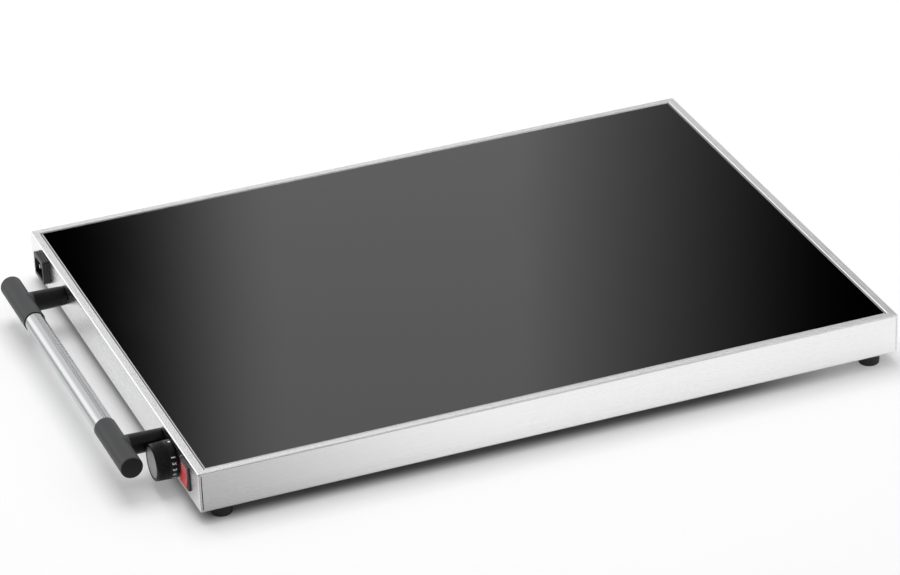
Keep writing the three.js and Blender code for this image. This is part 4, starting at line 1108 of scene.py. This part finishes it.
# %% Dome
dome_radius = 100.0
dome_shape = bmesh.new()
bmesh.ops.create_uvsphere(dome_shape, u_segments=48, v_segments=24, radius=dome_radius)
everything = dome_shape.verts[:] + dome_shape.edges[:] + dome_shape.faces[:]
bmesh.ops.bisect_plane(dome_shape, geom=everything, plane_co=(0, 0, 0), plane_no=(0, 0, -1),
                       clear_outer=True)
dome = as_object(dome_shape, "studio_dome")
for ray in ("camera", "diffuse", "transmission", "volume_scatter", "shadow"):
    setattr(dome, "visible_" + ray, False)
dome_material = bpy.data.materials.new("dome_cloths")
dome_material.use_nodes = True
dome.data.materials.append(dome_material)
print("dome faces:", len(dome.data.polygons))

# %% Cloths on the dome
recipe = Recipe(dome_material.node_tree)
outward = recipe.node("ShaderNodeVectorMath", {"operation": "NORMALIZE"}, {0: point_on(recipe)})
x, y, z = sides_of(recipe, outward)
sideways = x.math("ARCTAN2", y) * math.degrees(1)
climb = z.math("ARCSINE") * math.degrees(1)
gap_left = between(recipe, sideways, 14.1, 17.9)
narrow_cloth = (between(recipe, sideways, 10, 12) * (1 - gap_left * gap_left)
                * between(recipe, climb, 34, 31.5) * between(recipe, climb, 20, 24))
gap_right = between(recipe, sideways, 26.6, 21.5, "LINEAR")
right_cloth = ((1 - gap_right * gap_right) * between(recipe, sideways, 110, 90)
               * between(recipe, climb, 38, 31) * (between(recipe, climb, 18, 25) * 0.8 + 0.2))
front_wall = (between(recipe, y, 0.62, 0.45) * between(recipe, x, 0.36, 0.28)
              * between(recipe, climb, 88, 76) * (between(recipe, climb, 20, 45) * 0.25 + 0.7))
window = (between(recipe, sideways, -80, -40) * between(recipe, sideways, -14, -24)
          * between(recipe, climb, 1, 6) * between(recipe, climb, 32, 22))
room = (1 - narrow_cloth) * (1 - right_cloth) * (1 - front_wall) + window * 0.7
room_glow = recipe.node("ShaderNodeEmission", {}, {"Color": room})
recipe.node("ShaderNodeOutputMaterial", {}, {"Surface": room_glow})
print("dome nodes:", len(dome_material.node_tree.nodes))

# %% [markdown]
# ## Light
#
# One wide lamp hangs nearly straight above, a little behind the tray, so the shadow is short and falls
# to the front. It is left out of reflections, because the dome already shows the room.

# %% Soft lamp
lamp_place = Vector((0.0, 0.75, 2.9))
lamp_size = 2.2
lamp_power = 47
lamp = bpy.data.lights.new("key_lamp", "AREA")
lamp.shape = "SQUARE"
lamp.size = lamp_size
lamp.energy = lamp_power
lamp_holder = bpy.data.objects.new("key_lamp", lamp)
towards_tray = (-lamp_place).to_track_quat("-Z", "Y").to_matrix().to_4x4()
lamp_holder.matrix_world = Matrix.Translation(lamp_place) @ towards_tray
lamp_holder.visible_glossy = False
bpy.context.scene.collection.objects.link(lamp_holder)
print("lamp above the floor, m:", lamp_place.z)

# %% Show colours as they are written
bpy.context.scene.view_settings.view_transform = "Standard"
